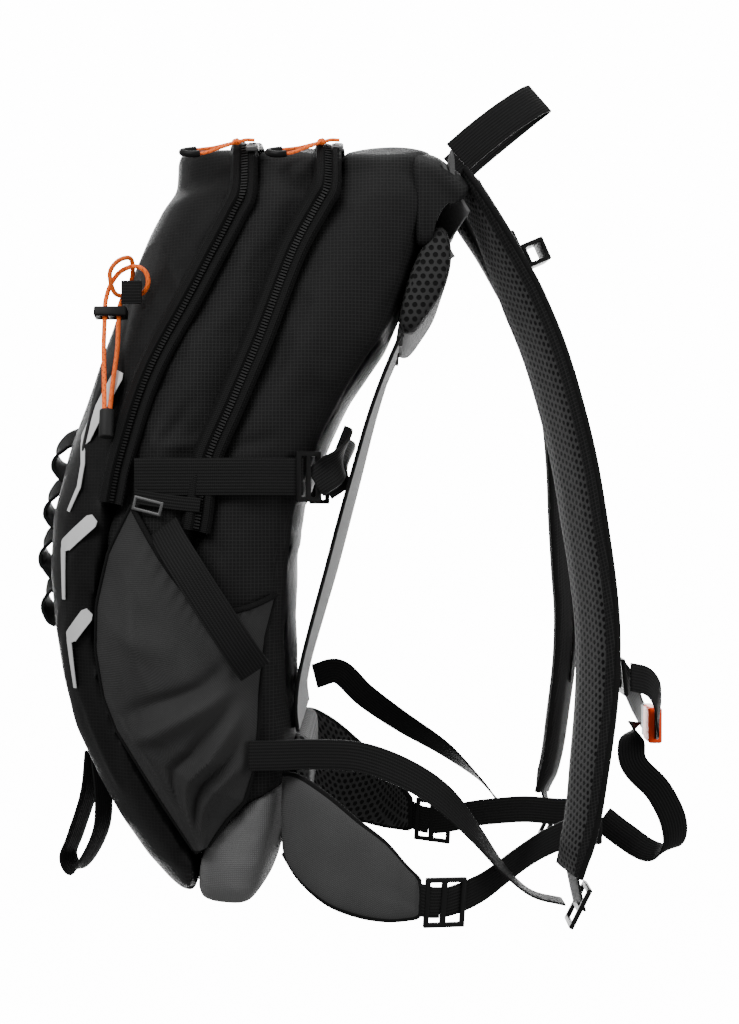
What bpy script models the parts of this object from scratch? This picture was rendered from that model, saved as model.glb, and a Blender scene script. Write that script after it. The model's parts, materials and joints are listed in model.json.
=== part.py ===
"""Ski day pack with a tensioned back sheet, modelled in metres with +Z up.

+X points from the bag towards the wearer and Y runs across the pack: the wearer's right
side is at -Y.  The origin is the middle of the wearer's back, on the pack's mid-plane.
"""
import math

import bmesh
import bpy
from mathutils import Matrix, Vector

# ---- driving dimensions -------------------------------------------------------------
GAP = 0.0005                 # clearance between neighbouring pieces
BAG_HALF_WIDTH = 0.130       # bag at its widest
BAG_TOP = 0.262              # crown of the lid on the mid-plane
BAG_BOTTOM = -0.272
ARCH_RADIUS = 0.26           # the lid's arch across the pack, which the sliders follow
FRONT_TAPER = 0.18           # how much narrower the outer face is than the back
FRONT_ROUNDNESS = 2.8        # superellipse powers of the bag's horizontal sections
BACK_ROUNDNESS = 6.0
RING_POINTS = 40
WEBBING = 0.025              # wide webbing
WEBBING_THICK = 0.0016
NARROW_WEBBING = 0.020
ZIP_WIDTH = 0.0076
ZIP_PROUD = 0.0010           # how far the zip stands out of the bag's skin
ZIP_DEPTH = 0.0050
SEAM = 0.0008                # slit between panels that are sewn together
FRAMESHEET = 0.005           # back panel thickness
STAY_WIDTH = 0.032
STAY_THICK = 0.0020
STRAP_THICK = 0.013
STRAP_CLEAR = 0.0012         # webbing off the bag's side
SHEET_HALF_WIDTH = 0.094
SHEET_THICK = 0.0026
PAD_HALF_WIDTH = 0.100
POCKET_THICK = 0.0016
POCKET_BULGE = 0.016
CORD_DIAMETER = 0.0032
BAR = 0.0034                 # bars of the moulded fittings
FITTING_THICK = 0.0032
GRIP_LENGTH = 0.0120         # zip pull grip
BUCKLE_LENGTH = 0.052        # hip buckle along the belt, both halves closed
SLIDER_TRAVEL_START = 20.3   # degrees off the lid's crown where the zip sliders rest
RIGHT = -1
LEFT = 1

# ---- the bag's profile: (height, value) points, read through a smooth curve -----------
FRONT_PROFILE = [(-0.272, -0.122), (-0.251, -0.148), (-0.207, -0.180), (-0.128, -0.216),
                 (-0.035, -0.227), (0.059, -0.209), (0.117, -0.1875), (0.178, -0.165),
                 (0.230, -0.1440), (0.262, -0.130)]
BACK_PROFILE = [(-0.272, -0.084), (-0.259, -0.074), (-0.223, -0.062), (-0.160, -0.053),
                (-0.085, -0.058), (-0.012, -0.053), (0.048, -0.033), (0.090, -0.013),
                (0.127, 0.013), (0.193, 0.040), (0.230, 0.053), (0.262, 0.054)]
HALF_WIDTHS = [(-0.272, 0.080), (-0.262, 0.098), (-0.240, 0.111), (-0.180, 0.123),
               (-0.080, BAG_HALF_WIDTH), (0.020, BAG_HALF_WIDTH), (0.120, 0.123),
               (0.190, 0.114), (0.262, 0.106)]
STAY_TOP = 0.205
STAY_FOOT = -0.125
STAY_HEIGHTS = (0.160, 0.127, 0.090, 0.048, 0.010, -0.030, -0.085)
SIDE_RINGS = [-0.268, -0.258, -0.240, -0.215, -0.185, -0.150, -0.115, -0.080, -0.040, 0.0, 0.040,
              0.080, 0.120, 0.160, 0.195]
# front zip, then the seam that carries on round the side pocket, from top to bottom
FRONT_CUT = [(-0.080, 0.300), (-0.0813, 0.2333), (-0.1147, 0.160), (-0.148, 0.0967),
             (-0.1667, 0.038), (-0.1733, 0.006), (-0.1847, -0.060), (-0.1867, -0.093),
             (-0.172, -0.148), (-0.116, -0.238)]
FRONT_ZIP_END = 0.004
MAIN_CUT = [(-0.022, 0.300), (-0.0244, 0.234), (-0.0515, 0.177), (-0.073, 0.119),
            (-0.092, 0.0726), (-0.109, 0.031), (-0.1155, -0.0125), (-0.130, -0.060),
            (-0.145, -0.110)]
MAIN_ZIP_END = -0.014
BOOT_CUT = [(-0.123, -0.300), (-0.116, -0.240), (-0.1056, -0.218), (-0.0838, -0.197),
            (-0.020, -0.160)]

COLOURS = {
    "shell_fabric": (0.012, 0.012, 0.013, 0.85), "panel_fabric": (0.010, 0.010, 0.011, 0.6),
    "grey_fabric": (0.105, 0.106, 0.110, 0.9), "pocket_fabric": (0.035, 0.036, 0.038, 0.9),
    "mesh_fabric": (0.060, 0.062, 0.066, 0.95), "black_webbing": (0.010, 0.010, 0.010, 0.8),
    "zip_black": (0.012, 0.012, 0.012, 0.6), "zip_metal": (0.30, 0.30, 0.31, 0.3),
    "black_plastic": (0.012, 0.012, 0.012, 0.35), "orange_cord": (1.0, 0.16, 0.01, 0.7),
    "orange_plastic": (1.0, 0.065, 0.01, 0.35), "dark_rubber": (0.03, 0.03, 0.032, 0.6),
    "stay_aluminium": (0.6, 0.6, 0.62, 0.35), "wire_steel": (0.35, 0.35, 0.36, 0.3),
}


# ---- helpers ------------------------------------------------------------------------
def clear_scene():
    for item in list(bpy.data.objects):
        bpy.data.objects.remove(item, do_unlink=True)


def material(name):
    found = bpy.data.materials.get(name)
    if found:
        return found
    red, green, blue, roughness = COLOURS[name]
    made = bpy.data.materials.new(name)
    made.use_nodes = True
    shader = made.node_tree.nodes["Principled BSDF"]
    shader.inputs["Base Color"].default_value = (red, green, blue, 1.0)
    shader.inputs["Roughness"].default_value = roughness
    metals = ("zip_metal", "stay_aluminium", "wire_steel")
    shader.inputs["Metallic"].default_value = 1.0 if name in metals else 0.0
    return made


def add_object(name, bm, slot):
    bmesh.ops.recalc_face_normals(bm, faces=bm.faces)
    mesh = bpy.data.meshes.new(name)
    bm.to_mesh(mesh)
    bm.free()
    mesh.materials.append(material(slot))
    made = bpy.data.objects.new(name, mesh)
    bpy.context.scene.collection.objects.link(made)
    return made


def on_axis(made, point):
    """Moves an object's origin onto its joint's axis and leaves its shape in place."""
    place = Vector(point)
    made.data.transform(Matrix.Translation(-place))
    made.location = place
    return made


def curve_value(points, at):
    """Cubic through (position, value) points, with limited slopes so it never overshoots."""
    last = len(points) - 1
    at = min(max(at, points[0][0]), points[last][0])
    k = 0
    while k < last - 1 and at > points[k + 1][0]:
        k += 1
    rises = [(points[i + 1][1] - points[i][1]) / (points[i + 1][0] - points[i][0]) for i in range(last)]

    def slope(i):
        if i in (0, last):
            return rises[min(i, last - 1)]
        before, after = rises[i - 1], rises[i]
        return 0.0 if before * after <= 0 else 2 * before * after / (before + after)

    width = points[k + 1][0] - points[k][0]
    t = (at - points[k][0]) / width
    start = (1 + 2 * t) * (1 - t) ** 2 * points[k][1] + t * (1 - t) ** 2 * width * slope(k)
    end = t * t * (3 - 2 * t) * points[k + 1][1] - t * t * (1 - t) * width * slope(k + 1)
    return start + end


def smooth_route(points, per_span=6):
    """Catmull-Rom curve through points of any dimension."""
    rows = [Vector(p) for p in points]
    ends = [2 * rows[0] - rows[1]] + rows + [2 * rows[-1] - rows[-2]]
    route = []
    for k in range(1, len(ends) - 2):
        a, b, c, d = ends[k - 1:k + 3]
        for step in range(per_span):
            t = step / per_span
            bend = (2 * a - 5 * b + 4 * c - d) * t * t + (3 * b - a - 3 * c + d) * t ** 3
            route.append(b + 0.5 * ((c - a) * t + bend))
    return route + [rows[-1]]


def strip(name, route, sides, width, thick, slot, round_edges=False):
    """A flat band swept along route; sides holds its width direction at each point."""
    bm = bmesh.new()
    rings = []
    count = len(route)
    for k, point in enumerate(route):
        ahead = (route[min(k + 1, count - 1)] - route[max(k - 1, 0)]).normalized()
        side = Vector(sides[k])
        side = (side - ahead * side.dot(ahead)).normalized()
        up = ahead.cross(side)
        w = (width[k] if isinstance(width, list) else width) / 2
        h = thick / 2
        if round_edges:
            outline = [(-w, -h * 0.3), (-w + h * 0.8, -h), (w - h * 0.8, -h), (w, -h * 0.3),
                       (w, h * 0.3), (w - h * 0.8, h), (-w + h * 0.8, h), (-w, h * 0.3)]
        else:
            outline = [(-w, -h), (w, -h), (w, h), (-w, h)]
        rings.append([bm.verts.new(point + side * a + up * b) for a, b in outline])
    size = len(rings[0])
    for ring, following in zip(rings, rings[1:]):
        for k in range(size):
            j = (k + 1) % size
            bm.faces.new((ring[k], ring[j], following[j], following[k]))
    bm.faces.new(rings[0][::-1])
    bm.faces.new(rings[-1])
    return add_object(name, bm, slot)


def webbing(name, points, slot="black_webbing", width=WEBBING, thick=WEBBING_THICK, per_span=4):
    """A webbing band; each point is (x, y, z, side x, side y, side z)."""
    route = smooth_route([p[:3] for p in points], per_span)
    sides = smooth_route([p[3:] for p in points], per_span)
    return strip(name, route, sides, width, thick, slot)


def tube(name, points, diameter, slot, per_span=4):
    data = bpy.data.curves.new(name, "CURVE")
    data.dimensions = "3D"
    data.bevel_depth = diameter / 2
    data.bevel_resolution = 2
    data.render_resolution_u = 0
    data.use_fill_caps = True
    route = smooth_route(points, per_span)
    line = data.splines.new("POLY")
    line.points.add(len(route) - 1)
    for knot, place in zip(line.points, route):
        knot.co = (*place, 1.0)
    data.materials.append(material(slot))
    made = bpy.data.objects.new(name, data)
    bpy.context.scene.collection.objects.link(made)
    return made


def prism(name, outline, half_width, slot):
    """Extrudes an XZ outline across the pack."""
    bm = bmesh.new()
    near = [bm.verts.new((x, -half_width, z)) for x, z in outline]
    face = bm.faces.new(near)
    swept = bmesh.ops.extrude_face_region(bm, geom=[face])
    moved = [item for item in swept["geom"] if isinstance(item, bmesh.types.BMVert)]
    bmesh.ops.translate(bm, verts=moved, vec=(0, 2 * half_width, 0))
    return add_object(name, bm, slot)


def boolean(target, tool, operation):
    step = target.modifiers.new(operation.lower(), "BOOLEAN")
    step.object = tool
    step.operation = operation
    step.solver = "EXACT"
    tool.hide_render = True
    tool.display_type = "WIRE"


def slotted_plate(name, columns, rows, holes, thick, place, axes, slot):
    """A moulded plate: a grid of cells less its holes, thickened both ways from place."""
    bm = bmesh.new()
    grid = [[bm.verts.new((x, y, -thick / 2)) for x in columns] for y in rows]
    for j in range(len(rows) - 1):
        for i in range(len(columns) - 1):
            if (i, j) not in holes:
                bm.faces.new((grid[j][i], grid[j][i + 1], grid[j + 1][i + 1], grid[j + 1][i]))
    for vert in [v for v in bm.verts if not v.link_faces]:
        bm.verts.remove(vert)
    swept = bmesh.ops.extrude_face_region(bm, geom=list(bm.faces))
    moved = [item for item in swept["geom"] if isinstance(item, bmesh.types.BMVert)]
    bmesh.ops.translate(bm, verts=moved, vec=(0, 0, thick))
    across, along = (Vector(axis).normalized() for axis in axes)
    through = across.cross(along)
    turn = Matrix((across, along, through)).transposed().to_4x4()
    bmesh.ops.transform(bm, matrix=Matrix.Translation(Vector(place)) @ turn, verts=bm.verts)
    return add_object(name, bm, slot)


def block(name, size, place, axes, slot, chamfer=0.0):
    """A moulded block with chamfered edges, its sides along the two given axes."""
    bm = bmesh.new()
    bmesh.ops.create_cube(bm, size=1.0)
    bmesh.ops.scale(bm, vec=size, verts=bm.verts)
    if chamfer:
        bmesh.ops.bevel(bm, geom=list(bm.edges), offset=chamfer, segments=1, profile=0.5,
                        affect="EDGES", material=-1)
    across, along = (Vector(axis).normalized() for axis in axes)
    along = (along - across * along.dot(across)).normalized()
    turn = Matrix((across, along, across.cross(along))).transposed().to_4x4()
    bmesh.ops.transform(bm, matrix=Matrix.Translation(Vector(place)) @ turn, verts=bm.verts)
    return add_object(name, bm, slot)


def cylinder(name, radius, length, place, axis, slot, sides=14):
    bm = bmesh.new()
    bmesh.ops.create_cone(bm, cap_ends=True, segments=sides, radius1=radius, radius2=radius, depth=length)
    turn = Vector((0, 0, 1)).rotation_difference(Vector(axis)).to_matrix().to_4x4()
    bmesh.ops.transform(bm, matrix=Matrix.Translation(Vector(place)) @ turn, verts=bm.verts)
    return add_object(name, bm, slot)


# ---- the bag ------------------------------------------------------------------------
def front_at(z):
    return curve_value(FRONT_PROFILE, z)


def back_at(z):
    return curve_value(BACK_PROFILE, z)


def side_at(x, z):
    """Half width of the bag at a place on its side."""
    front, back = front_at(z), back_at(z)
    along = (2 * x - front - back) / (back - front)
    along = min(max(along, -1.0), 1.0)
    power = FRONT_ROUNDNESS if along < 0 else BACK_ROUNDNESS
    share = (1 - abs(along) ** power) ** (1 / power)
    return curve_value(HALF_WIDTHS, z) * share * (1 - FRONT_TAPER * (1 - along) / 2)


def arch(y):
    return BAG_TOP - ARCH_RADIUS + math.sqrt(ARCH_RADIUS ** 2 - y * y)


def bag_ring(bm, z, swell, inset=0.0, share=1.0, on_lid=False):
    """One closed ring of the bag; swell grows it, inset and share shrink it on the lid."""
    front, back = front_at(z) - swell + inset, back_at(z) + swell - inset
    half = curve_value(HALF_WIDTHS, z) + swell - inset
    centre, reach = (front + back) / 2, (back - front) / 2
    ring = []
    for k in range(RING_POINTS):
        angle = 2 * math.pi * k / RING_POINTS
        c, s = math.cos(angle), math.sin(angle)
        power = FRONT_ROUNDNESS if c < 0 else BACK_ROUNDNESS
        along = math.copysign(abs(c) ** (2 / power), c)
        across = math.copysign(abs(s) ** (2 / power), s)
        x = centre + reach * along * share
        y = half * across * (1 - FRONT_TAPER * (1 - along) / 2) * share
        ring.append(bm.verts.new((x, y, arch(y) + swell if on_lid else z)))
    return ring


def bag_skin(name, swell=0.0):
    """The bag's whole outer skin: rings up the sides, then rings in over the arched lid."""
    bm = bmesh.new()
    floor = BAG_BOTTOM - swell
    heights = [floor] + [z for z in SIDE_RINGS if z > floor + 0.002]
    rings = [bag_ring(bm, z, swell) for z in heights]
    rings.append(bag_ring(bm, 0.216 + swell, swell, inset=0.001))
    rings.append(bag_ring(bm, 0.230 + swell, swell, inset=0.006))
    for share in (0.965, 0.86, 0.6, 0.3):
        rings.append(bag_ring(bm, 0.230, swell, inset=0.006, share=share, on_lid=True))
    for ring, following in zip(rings, rings[1:]):
        for k in range(RING_POINTS):
            j = (k + 1) % RING_POINTS
            bm.faces.new((ring[k], ring[j], following[j], following[k]))
    bm.faces.new(rings[0][::-1])
    centre = sum((v.co for v in rings[-1]), Vector()) / RING_POINTS
    hub = bm.verts.new((centre.x, 0.0, arch(0.0) + swell))
    for k in range(RING_POINTS):
        bm.faces.new((rings[-1][k], rings[-1][(k + 1) % RING_POINTS], hub))
    return add_object(name, bm, "shell_fabric")


def offset_line(points, distance):
    """Moves an XZ line to one side: positive goes towards +X on a line that runs down."""
    moved = []
    for k, point in enumerate(points):
        before, after = Vector(points[max(k - 1, 0)]), Vector(points[min(k + 1, len(points) - 1)])
        ahead = (after - before).normalized()
        reach = distance[k] if isinstance(distance, list) else distance
        moved.append((point[0] - ahead.y * reach, point[1] + ahead.x * reach))
    return moved


def cut_line(points, zip_end):
    """A smooth cut and the half slit at each of its points: wide for the zip, then a seam."""
    line = [tuple(p) for p in smooth_route(points, 3)]
    slit = [ZIP_WIDTH / 2 + GAP if z > zip_end else SEAM / 2 for x, z in line]
    return line, slit


def bag_pieces():
    front_line, front_slit = cut_line(FRONT_CUT, FRONT_ZIP_END)
    main_line, main_slit = cut_line(MAIN_CUT, MAIN_ZIP_END)
    front_of_front = offset_line(front_line, [-s for s in front_slit])
    back_of_front = offset_line(front_line, front_slit)
    front_of_main = offset_line(main_line, [-s for s in main_slit])
    back_of_main = offset_line(main_line, main_slit)
    meeting = next(k for k, p in enumerate(back_of_front) if p[1] < MAIN_CUT[-1][1])
    boot_above = offset_line(BOOT_CUT, SEAM / 2)
    boot_below = offset_line(BOOT_CUT, -SEAM / 2)
    panel_line = [(back_at(z) - FRAMESHEET, z) for z in (0.30, 0.225, 0.193, 0.160, 0.127, 0.090,
                                                        0.048, 0.010, -0.03, -0.085, -0.135)]
    panel_back = [(x + SEAM, z) for x, z in panel_line]
    foot = panel_line[-1][1]
    regions = {
        "front_pocket": front_of_front[:-1] + boot_above[1::-1] + [(-0.30, -0.30), (-0.30, 0.30)],
        "middle_compartment": back_of_front[:meeting] + front_of_main[::-1],
        "main_compartment": back_of_main + [(-0.145, -0.111)] + back_of_front[meeting + 1:]
        + boot_above[1:] + [(0.02, foot - SEAM), (panel_line[-1][0], foot - SEAM)]
        + panel_line[::-1],
        "back_panel": panel_back + [(0.10, foot), (0.10, 0.30)],
        "bottom_boot": boot_below + [(0.02, -0.165), (0.02, -0.30)],
    }
    for name, outline in regions.items():
        piece = bag_skin(name)
        boolean(piece, prism(name + "_region", outline, 0.25, "shell_fabric"), "INTERSECT")
        slot = {"front_pocket": "panel_fabric", "bottom_boot": "grey_fabric"}.get(name, "shell_fabric")
        piece.data.materials[0] = material(slot)
        if name == "main_compartment":
            cut_stay_groove(piece)


def stay_sides(extra):
    """The stay's two faces in XZ, each moved out by extra."""
    heights = [STAY_TOP + extra, *STAY_HEIGHTS, STAY_FOOT - extra]
    reach = FRAMESHEET + GAP
    near = [(back_at(z) - reach + extra, z) for z in heights]
    far = [(back_at(z) - reach - STAY_THICK - extra, z) for z in heights]
    return near, far


def cut_stay_groove(piece):
    """A groove for the stay, open towards the back panel."""
    near, far = stay_sides(GAP)
    near = [(x + STAY_THICK, z) for x, z in near]
    groove = prism("stay_groove", near + far[::-1], STAY_WIDTH / 2 + GAP, "shell_fabric")
    boolean(piece, groove, "DIFFERENCE")


def frame_stay():
    """The flat aluminium stay that holds the bag's back in its hollow curve."""
    near, far = stay_sides(0.0)
    prism("frame_stay", near + far[::-1], STAY_WIDTH / 2, "stay_aluminium")


def zips():
    """Each zip is the band of bag skin that its slit leaves, standing a little proud."""
    for word, points, end in (("front", FRONT_CUT, FRONT_ZIP_END), ("main", MAIN_CUT, MAIN_ZIP_END)):
        line = [p for p in cut_line(points, end)[0] if p[1] > end]
        outline = offset_line(line, -ZIP_WIDTH / 2) + offset_line(line, ZIP_WIDTH / 2)[::-1]
        band = bag_skin(f"{word}_zip", ZIP_PROUD)
        band.data.materials[0] = material("zip_black")
        boolean(band, prism(f"{word}_zip_region", outline, 0.25, "zip_black"), "INTERSECT")
        boolean(band, bag_skin(f"{word}_zip_core", -ZIP_DEPTH), "DIFFERENCE")


def on_lid(x, angle, height):
    """A place over the lid: degrees from the crown towards the right, and height above it."""
    turn = math.radians(angle)
    radius = ARCH_RADIUS + height
    return (x, -radius * math.sin(turn), BAG_TOP - ARCH_RADIUS + radius * math.cos(turn))


PULL_ROUTE = [(0.0016, 0.0, 0.0085), (-0.0060, 0.0010, 0.0090), (-0.0150, 0.0060, 0.0070),
              (-0.0240, 0.0120, 0.0050), (-0.0310, 0.0165, 0.0040)]
PULL_GRIP = (-0.0375, 0.0205, 0.0036)


def by_slider(x, spot):
    """A place given from a slider: along X, outwards down the lid, and above its skin."""
    return Vector(on_lid(x + spot[0], SLIDER_TRAVEL_START + math.degrees(spot[1] / ARCH_RADIUS), spot[2]))


def zip_sliders():
    """Metal sliders on the lid, with their cord pulls lying forwards."""
    for word, x in (("front", FRONT_CUT[0][0]), ("main", MAIN_CUT[0][0])):
        place = by_slider(x, (0.0, 0.0, ZIP_PROUD + GAP + 0.0022))
        down_lid = by_slider(x, (0.0, 0.01, ZIP_PROUD + GAP + 0.0022)) - place
        slider = block(f"{word}_zip_slider", (0.0085, 0.012, 0.0040), place, ((1, 0, 0), down_lid),
                       "zip_metal", 0.0008)
        on_axis(slider, (x, 0.0, BAG_TOP - ARCH_RADIUS))
        points = [by_slider(x, spot) for spot in PULL_ROUTE]
        tube(f"{word}_pull_cord", points, CORD_DIAMETER * 0.9, "orange_cord")
        grip_place = by_slider(x, PULL_GRIP)
        lie = grip_place - points[-1]
        grip = block(f"{word}_pull_grip", (GRIP_LENGTH, 0.0155, 0.0046), points[-1] + lie.normalized()
                     * (GRIP_LENGTH / 2 + GAP), (lie, down_lid), "black_plastic", 0.0012)
        on_axis(grip, points[0])


# ---- side pockets and straps on the bag's sides ---------------------------------------
POCKET_FRONT = [(-0.159, 0.0046), (-0.175, -0.027), (-0.1835, -0.062), (-0.1845, -0.093),
                (-0.1795, -0.1245), (-0.171, -0.146), (-0.142, -0.192), (-0.116, -0.232)]
POCKET_BACK = [(-0.063, -0.0557), (-0.069, -0.082), (-0.0725, -0.1186), (-0.0735, -0.145),
               (-0.0765, -0.172), (-0.083, -0.193), (-0.095, -0.206), (-0.110, -0.227)]
HEM_SAG = 0.034


def pocket_place(s, t):
    """A place on the pocket in XZ: s runs from its front edge to its back, t down."""
    k = t * (len(POCKET_FRONT) - 1)
    i = min(int(k), len(POCKET_FRONT) - 2)
    front = Vector(POCKET_FRONT[i]).lerp(Vector(POCKET_FRONT[i + 1]), k - i)
    back = Vector(POCKET_BACK[i]).lerp(Vector(POCKET_BACK[i + 1]), k - i)
    spot = front.lerp(back, s)
    spot.y -= HEM_SAG * (1 - t) ** 2 * math.sin(math.pi * s)
    return spot


def pocket_bulge(s, t):
    fullness = math.sin(math.pi * s) ** 0.8
    return POCKET_BULGE * fullness * (0.55 + 0.75 * math.sin(math.pi * min(t * 0.9 + 0.12, 1.0)))


def side_pocket(side, word, across=12, down=11):
    """Stretch pocket open at its hem: two skins joined round the rim."""
    bm = bmesh.new()
    skins = []
    for skin in (0, POCKET_THICK):
        rows = []
        for j in range(down + 1):
            t = j / down * 0.985
            row = []
            for i in range(across + 1):
                s = i / across
                spot = pocket_place(s, t)
                out = side_at(spot.x, spot.y) + 2 * GAP + skin + pocket_bulge(s, t)
                row.append(bm.verts.new((spot.x, side * out, spot.y)))
            rows.append(row)
        skins.append(rows)
    inner, outer = skins
    for j in range(down):
        for i in range(across):
            bm.faces.new((inner[j][i], inner[j][i + 1], inner[j + 1][i + 1], inner[j + 1][i]))
            bm.faces.new((outer[j][i], outer[j + 1][i], outer[j + 1][i + 1], outer[j][i + 1]))
    inner_rim = inner[0] + [r[-1] for r in inner[1:]] + inner[-1][-2::-1] + [r[0] for r in inner[-2:0:-1]]
    outer_rim = outer[0] + [r[-1] for r in outer[1:]] + outer[-1][-2::-1] + [r[0] for r in outer[-2:0:-1]]
    for k in range(len(inner_rim)):
        j = (k + 1) % len(inner_rim)
        bm.faces.new((inner_rim[k], inner_rim[j], outer_rim[j], outer_rim[k]))
    return add_object(f"side_pocket_{word}", bm, "pocket_fabric")


def side_point(side, x, z, stand_off):
    return Vector((x, side * (side_at(x, z) + stand_off), z))


def compression_gear(side, word):
    """The webbing across the side, its buckle at the back edge and the ring it starts from."""
    height = 0.0235
    stand_off = ZIP_PROUD + WEBBING_THICK / 2 + 2 * GAP
    xs = [-0.156 + 0.096 * k / 9 for k in range(10)]
    route = [side_point(side, x, height, stand_off) for x in xs]
    route.append(Vector((-0.0500, side * (abs(route[-1].y) - 0.0030), height)))
    end = route[-1]
    sides = [(0, 0, 1)] * len(route)
    strip(f"compression_strap_{word}", route, sides, WEBBING, WEBBING_THICK, "black_webbing")
    clear = STRAP_CLEAR
    half = WEBBING / 2 + 0.001
    hook = Vector((end.x + clear, side * (abs(end.y) + 0.001), height))
    buckle = slotted_plate(f"compression_buckle_{word}", [0, BAR, BAR * 2, BAR * 3, BAR * 4, BAR * 5],
                           [-half - BAR, -half, half, half + BAR], [(1, 1), (3, 1)], FITTING_THICK,
                           hook, ((1, -0.35 * side, 0), (0, 0, 1)), "black_plastic")
    on_axis(buckle, hook)
    x0 = end.x + clear + BAR * 5 * 0.944 + 0.0036
    y0 = side * (abs(end.y) + 0.001 - BAR * 5 * 0.33)
    loop = [(x0, y0, height + 0.008), (x0 + 0.006, y0 - side * 0.004, height + 0.016),
            (x0 + 0.008, y0 - side * 0.012, height + 0.022), (x0 + 0.004, y0 - side * 0.022, height + 0.024)]
    webbing(f"compression_anchor_{word}", [(*p, 0.35, 0.0, 1.0) for p in loop], width=NARROW_WEBBING)
    ring_place = side_point(side, -0.1475, 0.0040, stand_off + 0.0030)
    slotted_plate(f"tension_ring_{word}", [-0.0105, -0.0083, 0.0083, 0.0105],
                  [-0.005, -0.0028, 0.0028, 0.005], [(1, 1)], 0.0020,
                  ring_place, ((1, side * 0.20, -0.25), (0.25, 0, 1)), "wire_steel")



def diagonal_strap(side, word):
    """Webbing from the ring down across the side pocket to the pocket's back seam."""
    spots = [(-0.137, -0.010), (-0.129, -0.022), (-0.119, -0.036), (-0.107, -0.054),
             (-0.095, -0.072), (-0.084, -0.089), (-0.0745, -0.104)]
    outs = [0.0050, 0.0140, 0.0225, 0.0265, 0.0275, 0.0255, 0.0205]
    route = [side_point(side, x, z, out) for (x, z), out in zip(spots, outs)]
    sides = [(0.55, 0, 0.45)] * len(route)
    strip(f"diagonal_strap_{word}", route, sides, NARROW_WEBBING, WEBBING_THICK, "black_webbing")


# ---- front fittings -------------------------------------------------------------------
def daisy_chain():
    """One webbing that humps out into four loops down the outer face."""
    crests = [(0.042, 0.0145), (0.007, 0.0120), (-0.0285, 0.0110), (-0.0655, 0.0105)]
    half = 0.0150
    valley = WEBBING_THICK / 2 + 2 * GAP
    route = []
    for centre, rise in crests:
        for k in range(8):
            z = centre + half - 2 * half * k / 8
            height = valley + rise * math.sin(math.pi * k / 8) ** 0.6
            route.append(Vector((front_at(z) - height, 0.0, z)))
    last = crests[-1][0] - half
    for z in (last, last - 0.010):
        route.append(Vector((front_at(z) - valley, 0.0, z)))
    strip("daisy_chain", route, [(0, 1, 0)] * len(route), NARROW_WEBBING, WEBBING_THICK, "black_webbing")


AXE_LOOP_TOP = (-0.2065, 0.0, -0.176)


def axe_loop():
    x, y, z = AXE_LOOP_TOP
    spots = [(0.0022, 0.0), (-0.001, -0.030), (-0.011, -0.062), (-0.0165, -0.078), (-0.0110, -0.088),
             (-0.0010, -0.078), (0.0085, -0.056), (0.0095, -0.030), (0.0062, -0.001)]
    points = [(x + a, y, z + b, 0, 1, 0) for a, b in spots]
    made = webbing("axe_loop", points, width=0.018, per_span=3)
    on_axis(made, AXE_LOOP_TOP)


TOGGLE = (-0.1773, -0.0840, 0.1370)
TOGGLE_HOLE = 0.0048
BUNGEE_DOWN = (0.0, -0.224, -0.975)
BUNGEE_ROUTE = [(-0.1795, -0.1025, 0.0697), (-0.1806, -0.0965, 0.0902), (-0.1820, -0.0898, 0.1117),
                (-0.1821, -0.0840, 0.1370), (-0.1819, -0.0820, 0.1458), (-0.1785, -0.0825, 0.1565),
                (-0.1715, -0.0835, 0.1655), (-0.1615, -0.0840, 0.1692), (-0.1540, -0.0845, 0.1650),
                (-0.1525, -0.0840, 0.1565), (-0.1575, -0.0805, 0.1505), (-0.1660, -0.0810, 0.1490),
                (-0.1745, -0.0830, 0.1500), (-0.1775, -0.0870, 0.1570), (-0.1775, -0.0890, 0.1655),
                (-0.1715, -0.0895, 0.1725), (-0.1640, -0.0860, 0.1740), (-0.1640, -0.0780, 0.1640),
                (-0.1680, -0.0755, 0.1540), (-0.1715, -0.0800, 0.1458), (-0.1725, -0.0840, 0.1370),
                (-0.1726, -0.0898, 0.1117), (-0.1744, -0.0965, 0.0902), (-0.1757, -0.1025, 0.0697)]


def bungee():
    """The elastic that holds a tool's shaft, with its tab, hook toggle and rubber end."""
    tube("tool_bungee", BUNGEE_ROUTE, CORD_DIAMETER, "orange_cord", per_span=3)
    block("bungee_tab", (0.014, 0.0020, 0.016), (-0.1635, -0.0862, 0.1510), ((1, 0, 0), (0, 1, 0)),
          "black_webbing")
    down = Vector(BUNGEE_DOWN)
    ends = (Vector(BUNGEE_ROUTE[0]) + Vector(BUNGEE_ROUTE[-1])) / 2
    cylinder("bungee_cord_end", 0.0052, 0.0195, ends + down * (0.0195 / 2 + GAP), down, "dark_rubber")
    hole = TOGGLE_HOLE / 2
    toggle = slotted_plate("bungee_toggle", [-0.0120, -0.0072, -0.0024, 0.0024, 0.0072, 0.0105],
                           [-0.0052, -hole, hole, 0.0052], [(1, 1), (3, 1)], 0.0070, TOGGLE,
                           ((1, 0, 0), (0, -down.z, down.y)), "black_plastic")
    on_axis(toggle, TOGGLE)


# ---- back of the bag ------------------------------------------------------------------
HAUL_BASE = (0.0600, 0.0, 0.2610)


def haul_loop():
    x, y, z = HAUL_BASE
    spots = [(0.0, -0.024, 0.0), (0.016, -0.023, 0.014), (0.036, -0.019, 0.030), (0.055, -0.010, 0.044),
             (0.062, 0.0, 0.048), (0.055, 0.010, 0.044), (0.036, 0.019, 0.030), (0.016, 0.023, 0.014),
             (0.0, 0.024, 0.0)]
    points = [(x + a, y + b, z + c, 0.66, 0, -0.75) for a, b, c in spots]
    on_axis(webbing("haul_loop", points, per_span=3), HAUL_BASE)


def yoke():
    """The reinforced yoke across the top of the back that carries the straps and haul loop."""
    outline = [(0.0545, 0.213), (0.0570, 0.213), (0.0585, 0.232), (0.0575, 0.2455), (0.0545, 0.2455)]
    prism("strap_yoke", outline, 0.096, "shell_fabric")


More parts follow.
